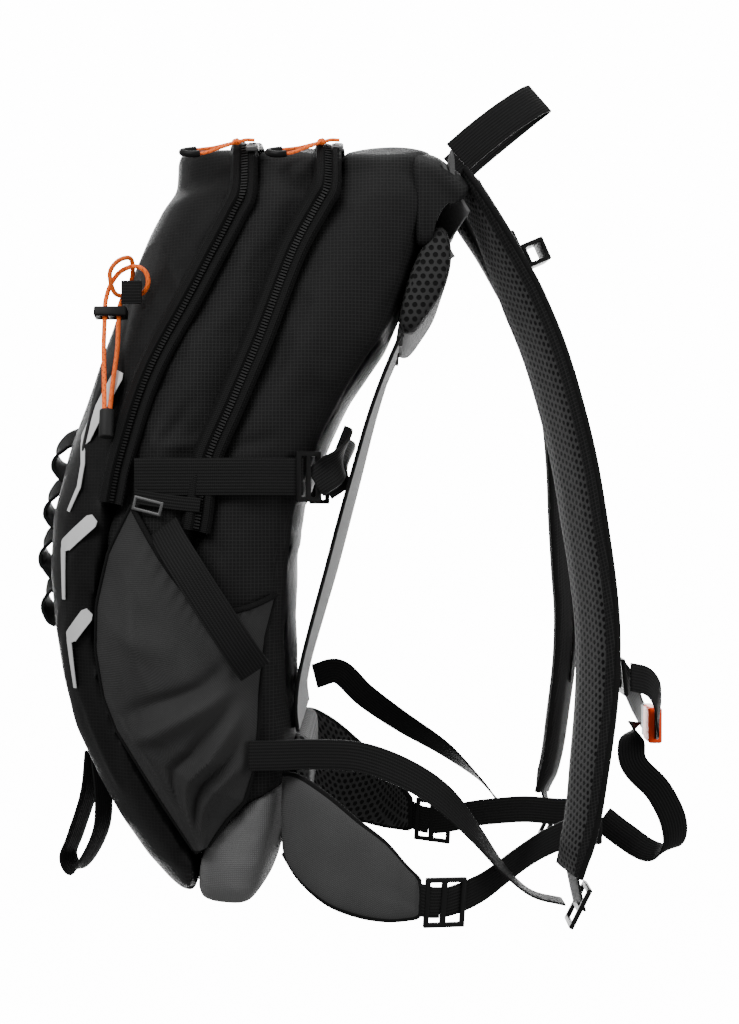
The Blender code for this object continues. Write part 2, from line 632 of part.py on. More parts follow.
def upper_back_pad():
    outline = [(0.0420, 0.1930), (0.0490, 0.1975), (0.0550, 0.1900), (0.0570, 0.1740), (0.0520, 0.1530),
               (0.0400, 0.1330), (0.0300, 0.1210), (0.0215, 0.1225), (0.0200, 0.1340)]
    prism("upper_back_pad", outline, PAD_HALF_WIDTH, "mesh_fabric")


def back_sheet():
    heights = [(0.0205, 0.1195), (0.010, 0.095), (-0.0005, 0.066), (-0.0115, 0.028), (-0.0210, -0.006),
               (-0.0305, -0.042), (-0.040, -0.077), (-0.0480, -0.110), (-0.0505, -0.1340), (-0.0490, -0.1500)]
    route = [Vector((x, 0.0, z)) for x, z in smooth_route(heights, 2)]
    sides = [(0, 1, 0)] * len(route)
    strip("back_sheet", route, sides, 2 * SHEET_HALF_WIDTH, SHEET_THICK, "mesh_fabric")


def lumbar_pad():
    outline = [(-0.0530, -0.1545), (-0.0430, -0.1550), (-0.0400, -0.1700), (-0.0420, -0.2050),
               (-0.0500, -0.2330), (-0.0590, -0.2400), (-0.0560, -0.2000), (-0.0500, -0.1750)]
    prism("lumbar_pad", outline, 0.088, "mesh_fabric")


# ---- shoulder straps --------------------------------------------------------------------
STRAP_LINE = [(0.0662, 0.2335), (0.0770, 0.211), (0.0910, 0.181), (0.1065, 0.146), (0.1200, 0.112),
              (0.1310, 0.075), (0.1405, 0.035), (0.1475, -0.008), (0.1540, -0.053), (0.1565, -0.090),
              (0.1550, -0.131), (0.1500, -0.176), (0.1450, -0.214), (0.1370, -0.246)]
STRAP_OFF_CENTRE = [0.066, 0.068, 0.071, 0.075, 0.079, 0.082, 0.084, 0.086, 0.087, 0.088,
                    0.089, 0.090, 0.090, 0.089]
STRAP_TILT = 0.24
STRAP_WIDTHS = [0.050, 0.056, 0.060, 0.060, 0.060, 0.060, 0.060, 0.060, 0.058, 0.056, 0.053, 0.048,
                0.042, 0.034]
STRAP_PIVOT = (0.058, 0.0, 0.236)
LEFT_STRAP_LIFT = 0.024
LEFT_STRAP_BOW = 0.007


def strap_line(side):
    """Centre line of a shoulder strap; the left one is drawn up a little more."""
    lift = LEFT_STRAP_LIFT if side == LEFT else 0.0
    last = STRAP_LINE[-1][1]
    line = []
    for (x, z), y in zip(STRAP_LINE, STRAP_OFF_CENTRE):
        share = min(max((STRAP_LINE[6][1] - z) / (STRAP_LINE[6][1] - last), 0.0), 1.0)
        bow = LEFT_STRAP_BOW * math.sin(math.pi * min(max((0.2335 - z) / 0.29, 0.0), 1.0))
        line.append((x + bow * (side == LEFT), side * y, z + lift * share))
    return line


def shoulder_strap(side, word):
    line = strap_line(side)
    route = smooth_route(line, 2)
    widths = [w[0] for w in smooth_route([(w, 0) for w in STRAP_WIDTHS], 2)]
    tilt = [min(k / 6, 1.0) * STRAP_TILT for k in range(len(route))]
    sides = [(t, side, 0) for t in tilt]
    made = strip(f"shoulder_strap_{word}", route, sides, widths, STRAP_THICK, "shell_fabric", True)
    on_axis(made, STRAP_PIVOT)


def ladder_lock(name, place, axes, opening=WEBBING):
    half = opening / 2 + 0.001
    return slotted_plate(name, [-half - BAR, -half, half, half + BAR],
                         [-0.0150, -0.0116, -0.0030, 0.0010, 0.0116, 0.0150], [(1, 1), (1, 3)],
                         FITTING_THICK, place, axes, "black_plastic")


def shoulder_lower_gear():
    """Ladder locks at the strap ends and the webbing that runs back to the bag."""
    for side, word in ((RIGHT, "right"), (LEFT, "left")):
        line = strap_line(side)
        x, y, z = line[-1]
        place = (x + 0.0060, y, z - 0.0230)
        lock = ladder_lock(f"strap_ladder_lock_{word}", place, ((0, 1, 0), (0.45, 0, 0.89)), NARROW_WEBBING)
        on_axis(lock, (place[0] + 0.0058, y, place[2] + 0.0115))
    right = [(-0.0800, -0.1285, -0.1610, 0, 0, 1), (-0.0580, -0.1268, -0.1608, 0, 0, 1),
             (-0.0350, -0.1225, -0.1610, 0, 0, 1), (-0.0050, -0.1175, -0.1640, 0.05, 0.1, 1),
             (0.0250, -0.1120, -0.1760, 0.25, 0.3, 0.9), (0.0500, -0.1070, -0.1930, 0.45, 0.6, 0.7),
             (0.0720, -0.1010, -0.2180, 0.30, 0.9, 0.35), (0.0920, -0.0945, -0.2440, 0.1, 1, 0.1),
             (0.1110, -0.0900, -0.2610, 0, 1, 0), (0.1330, -0.0890, -0.2670, 0, 1, 0)]
    left = [(-0.0450, 0.1230, -0.1340, 0.2, 0, 1), (-0.0250, 0.1215, -0.1300, 0, 0, 1),
            (-0.0040, 0.1190, -0.1490, 0.5, -0.2, 0.8), (0.0250, 0.1130, -0.1690, 0.5, -0.5, 0.7),
            (0.0600, 0.1030, -0.1900, 0.35, -0.8, 0.5), (0.0880, 0.0950, -0.2130, 0.1, -1, 0.1),
            (0.1080, 0.0900, -0.2350, 0, -1, 0), (0.1320, 0.0890, -0.2430, 0, -1, 0)]
    webbing("strap_webbing_right", right, width=NARROW_WEBBING)
    webbing("strap_webbing_left", left, width=NARROW_WEBBING)


# ---- sternum strap ----------------------------------------------------------------------
STERNUM_Z = -0.112
STERNUM_BUCKLE = (0.2075, 0.0, -0.155)


def sternum_strap():
    for side, word in ((RIGHT, "right"), (LEFT, "left")):
        y = side * 0.089
        slider = slotted_plate(f"sternum_slider_{word}", [-0.016, -0.012, 0.012, 0.016],
                      [-0.0125, -0.0090, 0.0090, 0.0125], [(1, 1)], 0.0030,
                      (0.1725, y, STERNUM_Z), ((0, 1, 0), (-0.09, 0, 1)), "black_plastic")
        on_axis(slider, (0.1725, y, STERNUM_Z))
    x, y, z = STERNUM_BUCKLE
    right = [(0.1790, -0.0890, -0.1130, 0, 0.3, 1), (0.1920, -0.0800, -0.1170, 0, 0.2, 1),
             (0.2010, -0.0650, -0.1270, 0.1, 0.1, 1), (0.2050, -0.0500, -0.1420, 0.1, 0, 1),
             (x - 0.0008, -0.0380, z + 0.0030, 0.02, 0, 1), (x, -0.0265, z, 0, 0, 1)]
    left = [(0.1795, 0.0890, -0.1130, 0, 0.3, 1), (0.1920, 0.0800, -0.1190, 0, -0.2, 1),
            (0.2010, 0.0650, -0.1320, 0.1, -0.1, 1), (0.2050, 0.0480, -0.1450, 0.1, 0, 1),
            (x - 0.0008, 0.0360, z + 0.0020, 0.02, 0, 1), (x, 0.0262, z, 0, 0, 1)]
    webbing("sternum_webbing_right", right, width=NARROW_WEBBING)
    webbing("sternum_webbing_left", left, width=NARROW_WEBBING)
    tail = [(x - 0.0140, -0.0170, z + 0.002, 0.02, 0, 1.0), (x - 0.0160, -0.0200, z - 0.026, 0.6, 0, 0.8),
            (x + 0.0030, -0.0190, z - 0.048, 0.87, 0, 0.5), (x + 0.0150, -0.0140, z - 0.072, 0.95, 0.1, 0.3),
            (x + 0.0160, -0.0020, z - 0.092, 0.8, 0.6, 0), (x + 0.0020, 0.0100, z - 0.098, 0.4, 0.6, 0.6),
            (x - 0.0160, 0.0190, z - 0.088, 0.35, 0.2, 0.9), (x - 0.0320, 0.0235, z - 0.076, 0.35, 0.1, 0.9)]
    webbing("sternum_tail", tail, width=NARROW_WEBBING)


def buckle_pair(prefix, centre, length, height, thick, slot_female, slot_male):
    """A side-release buckle: a hollow socket to the right and the pronged half to the left."""
    x, y, z = centre
    socket = block(f"{prefix}_buckle_socket", (length / 2, height, thick), (x, y - length / 4, z),
                   ((0, 1, 0), (0, 0, 1)), slot_female, 0.0012)
    hollow = block(f"{prefix}_socket_hollow", (length * 0.44, height - 0.0050, thick - 0.0034),
                   (x, y - length * 0.19, z), ((0, 1, 0), (0, 0, 1)), slot_female)
    boolean(socket, hollow, "DIFFERENCE")
    base = block(f"{prefix}_buckle_plug", (length * 0.27, height * 0.92, thick * 0.8),
                 (x, y + length * 0.140 + 0.0008, z), ((0, 1, 0), (0, 0, 1)), slot_male, 0.0010)
    reach = length * 0.33
    fork = block(f"{prefix}_plug_fork", (reach, height - 0.0066, thick - 0.0050),
                 (x, y - reach / 2 + 0.004, z), ((0, 1, 0), (0, 0, 1)), slot_male)
    boolean(base, fork, "UNION")
    gap = block(f"{prefix}_fork_gap", (reach, (height - 0.0066) * 0.30, thick),
                (x, y - reach / 2 - 0.002, z), ((0, 1, 0), (0, 0, 1)), slot_male)
    boolean(base, gap, "DIFFERENCE")
    on_axis(base, centre)


# ---- hip belt ---------------------------------------------------------------------------
LEFT_WING_LIFT = 0.016
BELT_PIVOT = (-0.055, 0.0, -0.200)
HIP_BUCKLE = (0.1630, 0.0, -0.2250)
WING_STATIONS = [(-0.0575, 0.1080, -0.230, -0.176, 0.0100), (-0.0460, 0.1190, -0.245, -0.177, 0.0125),
                 (-0.0280, 0.1260, -0.259, -0.188, 0.0125), (-0.0080, 0.1260, -0.267, -0.205, 0.0120),
                 (0.0100, 0.1220, -0.271, -0.220, 0.0115), (0.0230, 0.1160, -0.272, -0.236, 0.0100),
                 (0.0330, 0.1100, -0.272, -0.247, 0.0080)]


def hip_wing(side, word):
    """A padded wing lofted through upright sections: (x, off centre, bottom, top, thickness)."""
    bm = bmesh.new()
    rings = []
    lift = LEFT_WING_LIFT if side == LEFT else 0.0
    for k, (x, y, low, high, thick) in enumerate(WING_STATIONS):
        low, high = low + lift, high + lift
        before = WING_STATIONS[max(k - 1, 0)]
        after = WING_STATIONS[min(k + 1, len(WING_STATIONS) - 1)]
        ahead = Vector((after[0] - before[0], side * (after[1] - before[1]), 0)).normalized()
        out = Vector((ahead.y, -ahead.x, 0)) * (-side)
        half = thick / 2
        lip = min(0.010, (high - low) / 4)
        outline = [(-half * 0.35, low), (half * 0.35, low), (half, low + lip), (half, high - lip),
                   (half * 0.35, high), (-half * 0.35, high), (-half, high - lip), (-half, low + lip)]
        middle = Vector((x, side * y, 0))
        rings.append([bm.verts.new(middle + out * a + Vector((0, 0, h))) for a, h in outline])
    for ring, following in zip(rings, rings[1:]):
        for k in range(8):
            j = (k + 1) % 8
            bm.faces.new((ring[k], ring[j], following[j], following[k]))
    bm.faces.new(rings[0][::-1])
    bm.faces.new(rings[-1])
    on_axis(add_object(f"hip_wing_{word}", bm, "grey_fabric"), BELT_PIVOT)


def hip_belt():
    for side, word in ((RIGHT, "right"), (LEFT, "left")):
        hip_wing(side, word)
        lift = LEFT_WING_LIFT if side == LEFT else 0.0
        lock = ladder_lock(f"hip_ladder_lock_{word}", (0.0510, side * 0.1035, -0.2640 + lift),
                           ((0.06, 0, 1), (0.93, -side * 0.36, -0.06)))
        on_axis(lock, (0.0385, side * 0.1085, -0.2640 + lift))
        x, y, z = HIP_BUCKLE
        points = [(0.0690, side * 0.0940, -0.2600 + lift, 0.06, 0, 1),
                  (0.0820, side * 0.0850, -0.2550 + lift, 0.15, 0, 1),
                  (0.1010, side * 0.0690, -0.2450 + lift * 0.7, 0.2, 0, 1),
                  (0.1210, side * 0.0530, -0.2360 + lift * 0.4, 0.2, 0, 1),
                  (0.1430, side * 0.0400, -0.2290, 0.1, 0, 1), (0.1590, side * 0.0325, -0.2255, 0, 0, 1)]
        webbing(f"hip_webbing_{word}", points, width=NARROW_WEBBING)


# ---- hose clip --------------------------------------------------------------------------
CLIP_HEIGHT = 0.1715
CLIP_OUT = (0.914, 0.183, 0.405)
CLIP_ACROSS = (0.167, -1.0, 0.074)
CLIP_BASE = (0.0040, 0.022, 0.040)


def strap_centre(side, z):
    """Centre of a shoulder strap at a height."""
    line = strap_line(side)
    for (x0, y0, z0), (x1, y1, z1) in zip(line, line[1:]):
        if z1 <= z <= z0:
            t = (z0 - z) / (z0 - z1)
            return Vector((x0 + (x1 - x0) * t, y0 + (y1 - y0) * t, z))
    raise ValueError("the strap doesn't reach that height")


def hose_clip():
    """A base on the strap's outer face and the open-ended clip that turns on it."""
    out = Vector(CLIP_OUT).normalized()
    across = Vector(CLIP_ACROSS).normalized()
    foot = strap_centre(RIGHT, CLIP_HEIGHT) + out * (STRAP_THICK / 2 + CLIP_BASE[0] / 2 + 3 * GAP)
    block("hose_clip_base", CLIP_BASE, foot, (out, across), "black_plastic", 0.0010)
    turn = foot + out * (CLIP_BASE[0] / 2 + GAP)
    clip = slotted_plate("hose_clip", [0.0, 0.0030, 0.0140, 0.0170],
                         [-0.0085, -0.0055, 0.0055, 0.0085], [(1, 1)], 0.018,
                         turn, (out, out.cross(across)), "black_plastic")
    on_axis(clip, turn)


def build():
    clear_scene()
    bag_pieces()
    frame_stay()
    zips()
    zip_sliders()
    for side, word in ((RIGHT, "right"), (LEFT, "left")):
        side_pocket(side, word)
        compression_gear(side, word)
        diagonal_strap(side, word)
        shoulder_strap(side, word)
    daisy_chain()
    axe_loop()
    bungee()
    haul_loop()
    yoke()
    upper_back_pad()
    back_sheet()
    lumbar_pad()
    shoulder_lower_gear()
    sternum_strap()
    buckle_pair("sternum", STERNUM_BUCKLE, 0.048, 0.026, 0.0100, "orange_plastic", "black_plastic")
    hip_belt()
    buckle_pair("hip", HIP_BUCKLE, BUCKLE_LENGTH, 0.032, 0.0115, "black_plastic", "black_plastic")
    hose_clip()


build()
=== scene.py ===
import json
import math

import bmesh
import bpy
from mathutils import Matrix, Vector, noise
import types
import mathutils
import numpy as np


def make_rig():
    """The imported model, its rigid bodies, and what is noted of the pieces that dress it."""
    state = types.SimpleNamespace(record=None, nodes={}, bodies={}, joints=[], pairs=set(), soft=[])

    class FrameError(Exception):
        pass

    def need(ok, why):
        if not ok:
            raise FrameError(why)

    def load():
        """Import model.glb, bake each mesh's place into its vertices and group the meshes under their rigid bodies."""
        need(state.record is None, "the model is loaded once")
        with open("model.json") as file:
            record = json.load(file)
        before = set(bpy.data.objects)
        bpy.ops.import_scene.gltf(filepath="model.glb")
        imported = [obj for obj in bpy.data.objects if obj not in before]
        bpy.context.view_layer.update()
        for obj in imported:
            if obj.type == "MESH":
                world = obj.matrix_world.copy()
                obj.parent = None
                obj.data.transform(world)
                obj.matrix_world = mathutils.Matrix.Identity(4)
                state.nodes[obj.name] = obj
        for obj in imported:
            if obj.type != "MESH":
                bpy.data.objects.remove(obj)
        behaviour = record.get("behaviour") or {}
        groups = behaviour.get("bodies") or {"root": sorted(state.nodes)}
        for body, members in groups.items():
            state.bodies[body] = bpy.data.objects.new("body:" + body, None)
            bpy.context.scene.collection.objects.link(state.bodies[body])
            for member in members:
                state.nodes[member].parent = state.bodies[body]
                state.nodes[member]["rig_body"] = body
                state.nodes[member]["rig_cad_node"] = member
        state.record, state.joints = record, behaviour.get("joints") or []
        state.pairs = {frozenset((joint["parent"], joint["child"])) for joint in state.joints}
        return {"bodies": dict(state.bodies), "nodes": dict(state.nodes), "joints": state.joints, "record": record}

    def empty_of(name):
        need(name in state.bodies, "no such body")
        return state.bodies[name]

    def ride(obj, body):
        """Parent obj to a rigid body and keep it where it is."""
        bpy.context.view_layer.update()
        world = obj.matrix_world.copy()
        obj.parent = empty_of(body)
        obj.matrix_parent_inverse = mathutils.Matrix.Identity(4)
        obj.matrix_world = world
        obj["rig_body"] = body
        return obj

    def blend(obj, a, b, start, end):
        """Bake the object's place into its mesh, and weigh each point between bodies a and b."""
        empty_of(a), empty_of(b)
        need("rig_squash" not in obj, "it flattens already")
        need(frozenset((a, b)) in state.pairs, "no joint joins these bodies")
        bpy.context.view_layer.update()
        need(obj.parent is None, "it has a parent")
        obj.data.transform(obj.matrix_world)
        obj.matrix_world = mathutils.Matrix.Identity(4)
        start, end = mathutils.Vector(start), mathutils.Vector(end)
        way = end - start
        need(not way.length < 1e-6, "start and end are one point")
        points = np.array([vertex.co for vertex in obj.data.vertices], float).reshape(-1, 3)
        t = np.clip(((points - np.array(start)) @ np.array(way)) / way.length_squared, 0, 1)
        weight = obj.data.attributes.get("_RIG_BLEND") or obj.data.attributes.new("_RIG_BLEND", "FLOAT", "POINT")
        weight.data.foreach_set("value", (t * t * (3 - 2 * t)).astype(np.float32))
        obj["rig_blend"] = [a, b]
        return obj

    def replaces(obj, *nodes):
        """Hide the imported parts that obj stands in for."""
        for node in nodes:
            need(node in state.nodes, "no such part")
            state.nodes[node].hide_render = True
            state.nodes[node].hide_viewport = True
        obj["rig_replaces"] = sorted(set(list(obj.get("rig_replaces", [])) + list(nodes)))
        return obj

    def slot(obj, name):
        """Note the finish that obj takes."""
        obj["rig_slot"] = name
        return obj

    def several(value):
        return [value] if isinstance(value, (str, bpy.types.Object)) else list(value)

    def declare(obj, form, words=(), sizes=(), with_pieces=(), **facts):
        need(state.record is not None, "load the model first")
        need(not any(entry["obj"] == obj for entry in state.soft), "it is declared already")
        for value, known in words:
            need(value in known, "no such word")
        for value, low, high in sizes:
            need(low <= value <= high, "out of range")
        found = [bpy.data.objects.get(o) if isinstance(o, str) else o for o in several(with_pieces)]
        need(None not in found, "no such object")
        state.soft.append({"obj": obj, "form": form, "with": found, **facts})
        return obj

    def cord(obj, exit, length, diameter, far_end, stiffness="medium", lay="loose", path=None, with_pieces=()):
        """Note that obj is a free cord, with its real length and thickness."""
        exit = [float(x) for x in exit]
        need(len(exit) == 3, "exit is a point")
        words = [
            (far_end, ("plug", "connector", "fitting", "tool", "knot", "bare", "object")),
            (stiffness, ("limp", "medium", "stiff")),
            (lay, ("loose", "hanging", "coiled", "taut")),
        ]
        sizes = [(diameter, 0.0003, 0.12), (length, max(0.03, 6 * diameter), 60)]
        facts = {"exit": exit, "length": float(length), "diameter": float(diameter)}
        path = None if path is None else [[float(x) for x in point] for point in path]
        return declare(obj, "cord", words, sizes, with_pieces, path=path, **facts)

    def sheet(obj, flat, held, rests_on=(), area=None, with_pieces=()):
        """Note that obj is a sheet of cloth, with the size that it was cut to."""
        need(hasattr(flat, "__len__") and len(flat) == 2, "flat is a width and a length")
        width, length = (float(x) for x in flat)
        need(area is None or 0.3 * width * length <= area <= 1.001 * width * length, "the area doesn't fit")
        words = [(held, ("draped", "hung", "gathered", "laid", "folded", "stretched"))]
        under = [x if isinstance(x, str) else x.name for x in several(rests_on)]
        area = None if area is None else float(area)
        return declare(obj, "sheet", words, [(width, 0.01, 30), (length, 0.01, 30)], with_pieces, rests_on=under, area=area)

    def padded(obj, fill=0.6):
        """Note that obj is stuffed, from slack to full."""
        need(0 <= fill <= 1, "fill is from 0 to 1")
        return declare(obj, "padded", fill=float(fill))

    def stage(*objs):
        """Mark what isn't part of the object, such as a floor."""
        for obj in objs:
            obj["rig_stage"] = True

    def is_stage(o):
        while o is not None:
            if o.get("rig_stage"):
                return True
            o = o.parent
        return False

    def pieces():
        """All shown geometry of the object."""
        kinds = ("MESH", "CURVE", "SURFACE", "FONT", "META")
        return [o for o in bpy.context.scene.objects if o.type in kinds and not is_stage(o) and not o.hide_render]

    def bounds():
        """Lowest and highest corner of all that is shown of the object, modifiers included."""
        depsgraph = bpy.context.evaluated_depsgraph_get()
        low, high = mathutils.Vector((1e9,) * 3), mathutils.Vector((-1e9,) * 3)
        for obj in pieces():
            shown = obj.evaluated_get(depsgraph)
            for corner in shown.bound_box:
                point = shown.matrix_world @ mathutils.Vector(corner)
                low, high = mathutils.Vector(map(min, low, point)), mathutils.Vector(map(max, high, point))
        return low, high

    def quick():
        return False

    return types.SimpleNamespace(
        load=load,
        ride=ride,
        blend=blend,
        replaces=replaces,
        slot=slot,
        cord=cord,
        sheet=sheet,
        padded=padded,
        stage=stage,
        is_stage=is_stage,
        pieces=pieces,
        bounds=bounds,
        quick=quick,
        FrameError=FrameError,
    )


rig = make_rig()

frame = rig.load()
cad_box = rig.bounds()
print("frame loaded:", len(frame["nodes"]), "nodes on", len(frame["bodies"]), "bodies")

# %% [markdown]
# The camera looks level across the pack from the wearer's right.  A lens of 57 mm at 1.2 m gives
# the gentle perspective of a product picture.  The pack hangs free before a white glowing wall,
# which is well behind it, so it leaves no horizon and spills little light on the black cloth.
# %% Camera, backdrop and light
CAMERA_DISTANCE = 1.2
CAMERA_LENS = 57.0
BACKDROP_BEHIND = 1.9        # far enough that it lights only the pack's edges
BACKDROP_HALF_WIDTH = 1.05
BACKDROP_HALF_HEIGHT = 1.35
camera_data = bpy.data.cameras.new("camera")
camera_data.lens = CAMERA_LENS
camera_data.sensor_width = 36.0
camera = bpy.data.objects.new("camera", camera_data)
camera.location = (0.0, -CAMERA_DISTANCE, 0.0)
camera.rotation_euler = (math.radians(90), 0.0, 0.0)
bpy.context.scene.collection.objects.link(camera)
bpy.context.scene.camera = camera


def area_light(name, place, aim, size, power):
    """A square soft box that faces a point."""
    light = bpy.data.lights.new(name, "AREA")
    light.shape = "SQUARE"
    light.size = size
    light.energy = power
    made = bpy.data.objects.new(name, light)
    made.location = place
    made.rotation_euler = (Vector(aim) - Vector(place)).to_track_quat("-Z", "Y").to_euler()
    bpy.context.scene.collection.objects.link(made)


LIGHTS = [
    # name, place, aim, size in metres, power in watts
    ("key_light", (-1.1, -1.6, 1.5), (0, 0, 0), 1.1, 62),
    ("fill_light", (1.7, -1.0, 0.5), (0, 0, 0), 1.2, 24),
    ("top_light", (0.1, 0.3, 1.9), (0, 0, 0), 1.4, 30),
    ("rim_light", (-1.5, 1.2, 0.9), (0, 0, 0.05), 0.9, 4),
]
for row in LIGHTS:
    area_light(*row)
SKY_STRENGTH = 0.55
world = bpy.data.worlds.new("studio")
world.use_nodes = True
sky = world.node_tree.nodes["Background"].inputs
sky["Color"].default_value = (1.0, 1.0, 1.0, 1.0)
sky["Strength"].default_value = SKY_STRENGTH
bpy.context.scene.world = world


def new_object(name, bm):
    """Turns a finished bmesh into an object at the origin."""
    mesh = bpy.data.meshes.new(name)
    bm.to_mesh(mesh)
    bm.free()
    made = bpy.data.objects.new(name, mesh)
    bpy.context.scene.collection.objects.link(made)
    return made


bm = bmesh.new()
bmesh.ops.create_grid(bm, x_segments=2, y_segments=2, size=1.0)
for vert in bm.verts:
    vert.co = Vector((vert.co.x * BACKDROP_HALF_WIDTH, BACKDROP_BEHIND, vert.co.y * BACKDROP_HALF_HEIGHT))
backdrop = new_object("backdrop", bm)
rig.stage(backdrop)
print("camera at", tuple(camera.location), "backdrop at", BACKDROP_BEHIND)

# %% [markdown]
# Every finish is made from nodes.  The arithmetic of a pattern reads best as arithmetic, so one
# small class wraps a socket and turns +, -, *, / and < into Math nodes.
# %% Writing shader maths as expressions
class Wire:
    """A node's output inside the finish being made."""
    tree = None

    def __init__(self, socket):
        self.socket = socket


def node(kind, settings, *values, out=0, at=(), **named):
    """Adds a node, sets it up, fills its inputs and hands back one output."""
    made = Wire.tree.nodes.new("ShaderNode" + kind)
    for key, value in settings.items():
        setattr(made, key, value)
    words = [(key.replace("_", " "), value) for key, value in named.items()]
    for key, value in [*enumerate(values), *at, *words]:
        socket = made.inputs[key]
        if isinstance(value, Wire):
            Wire.tree.links.new(value.socket, socket)
        else:
            socket.default_value = value
    return Wire(made.outputs[out])


def maths(operation, *values):
    return node("Math", {"operation": operation}, *values)


OPERATORS = {"add": "ADD", "radd": "ADD", "sub": "SUBTRACT", "mul": "MULTIPLY", "rmul": "MULTIPLY",
             "truediv": "DIVIDE", "lt": "LESS_THAN"}
for sign, operation in OPERATORS.items():
    setattr(Wire, f"__{sign}__", lambda self, other, operation=operation: maths(operation, self, other))


def wave(value, pitch):
    """0 to 1 and back, once in each pitch."""
    return maths("SINE", value * (2 * math.pi / pitch)) * 0.5 + 0.5


def lines(value, pitch, share):
    """1 on a line that takes a share of each pitch, else 0."""
    return maths("FRACT", value / pitch) < share


def mix(factor, first, second):
    """Blends two colours."""
    return node("Mix", {"data_type": "RGBA"}, factor, out=2, at=((6, first), (7, second)))


# %% [markdown]
# A finish starts empty, gets its pattern as expressions, and is closed by wiring the pattern to
# the shader.  Fabric patterns read the piece's own UV map, which is in metres along the cloth;
# moulded pieces read Object coordinates, so their grain stays put when they move.
# %% Opening and closing a finish
def start(name):
    """Opens a finish and gives its UV and Object coordinates as separate numbers."""
    material = bpy.data.materials.new(name)
    material.use_nodes = True
    Wire.tree = material.node_tree
    cloth = node("TexCoord", {}, out="UV")
    solid = node("TexCoord", {}, out="Object")
    along, across = (node("SeparateXYZ", {}, cloth, out=k) for k in (0, 1))
    return material, along, across, cloth, solid


def close(material, base, rough, height=None, relief=0.0004, **direct):
    """Wires a finish to its shader and sets what is the same all over on the shader itself."""
    shader = material.node_tree.nodes["Principled BSDF"]
    for key, value in (("Base Color", base), ("Roughness", rough)):
        if isinstance(value, Wire):
            Wire.tree.links.new(value.socket, shader.inputs[key])
        else:
            shader.inputs[key].default_value = value
    if height is not None:
        bump = node("Bump", {}, Strength=1.0, Distance=relief, Height=height)
        Wire.tree.links.new(bump.socket, shader.inputs["Normal"])
    for key, value in direct.items():
        shader.inputs[key.replace("_", " ")].default_value = value
    return material


def grey(value, warm=1.0):
    return (value * warm, value, value / warm, 1.0)


def cloud(place, scale, detail=3.0):
    """Soft blotches from 0 to 1 over the piece."""
    return node("TexNoise", {}, place, Scale=scale, Detail=detail, Roughness=0.55)


# %% [markdown]
# The shell is a ripstop: a plain weave with a thicker, paler thread every 2.4 mm both ways.  The
# outer panel is the same cloth with a smooth coating, so its grid is fainter and it shines more.
# %% Ripstop cloth
def ripstop(name, ground, thread, rough, grid_height, pitch=0.0024, gloss=0.10):
    material, along, across, cloth, solid = start(name)
    grid = maths("MAXIMUM", lines(along, pitch, 0.2), lines(across, pitch, 0.2))
    weave = wave(along, 0.0006) * wave(across, 0.0006)
    worn = cloud(solid, 14.0)
    tint = mix(grid * (worn * 0.5 + 0.45), grey(ground), grey(thread))
    return close(material, tint, worn * 0.12 + (rough - 0.06), grid * grid_height + weave * 0.3, 0.00022,
                 Specular_IOR_Level=gloss)


shell_cloth = ripstop("ripstop_shell", 0.0045, 0.017, 0.66, 0.6)
panel_cloth = ripstop("coated_panel", 0.0035, 0.008, 0.55, 0.25, gloss=0.09)
strap_cloth = ripstop("strap_ripstop", 0.0045, 0.022, 0.66, 0.6, 0.0026)


# %% [markdown]
# Woven goods differ in their thread and its direction.  Pack cloth and the stretch cloth of the
# pockets are crossed waves, the back sheet is a twill with slanting ridges, and webbing has ribs
# along it crossed by picks.
# %% Woven cloths
def woven(name, dark, light, rough, pitch, slant=0.0, relief=0.0003):
    material, along, across, cloth, solid = start(name)
    first = along + across * slant
    second = across - along * slant
    weave = wave(first, pitch) * wave(second, pitch)
    patch = cloud(solid, 30.0)
    tint = mix(weave * 0.6 + patch * 0.4, grey(dark), grey(light))
    return close(material, tint, rough, weave, relief, Specular_IOR_Level=0.08)


pack_cloth = woven("grey_pack_cloth", 0.090, 0.165, 0.85, 0.0014)
wing_cloth = woven("grey_wing_cloth", 0.034, 0.068, 0.85, 0.0014)
stretch_cloth = woven("stretch_cloth", 0.018, 0.050, 0.82, 0.0015, 1.0)
binding_tape = woven("binding_tape", 0.0035, 0.009, 0.75, 0.0012, 0.6)
lining_cloth = woven("plain_lining", 0.055, 0.100, 0.88, 0.0010)


def twill(name, dark, light, pitch):
    material, along, across, cloth, solid = start(name)
    ridge = wave(along + across, pitch)
    tint = mix(ridge * 0.7 + cloud(solid, 25.0) * 0.3, grey(dark), grey(light))
    return close(material, tint, 0.85, ridge, 0.0003, Specular_IOR_Level=0.15)


sheet_cloth = twill("sheet_twill", 0.085, 0.17, 0.0016)


def webbing_cloth(name, dark, light, pitch=0.0021):
    material, along, across, cloth, solid = start(name)
    rib = wave(across, pitch)
    pick = wave(along + wave(across, pitch) * 0.0005, 0.0013)
    tint = mix(rib * 0.5 + pick * 0.5, grey(dark), grey(light))
    return close(material, tint, 0.62, rib * 0.6 + pick * 0.4, 0.00035, Specular_IOR_Level=0.06)


webbing_black = webbing_cloth("woven_webbing", 0.003, 0.012)
zip_tape = webbing_cloth("zip_tape", 0.003, 0.008, 0.0012)


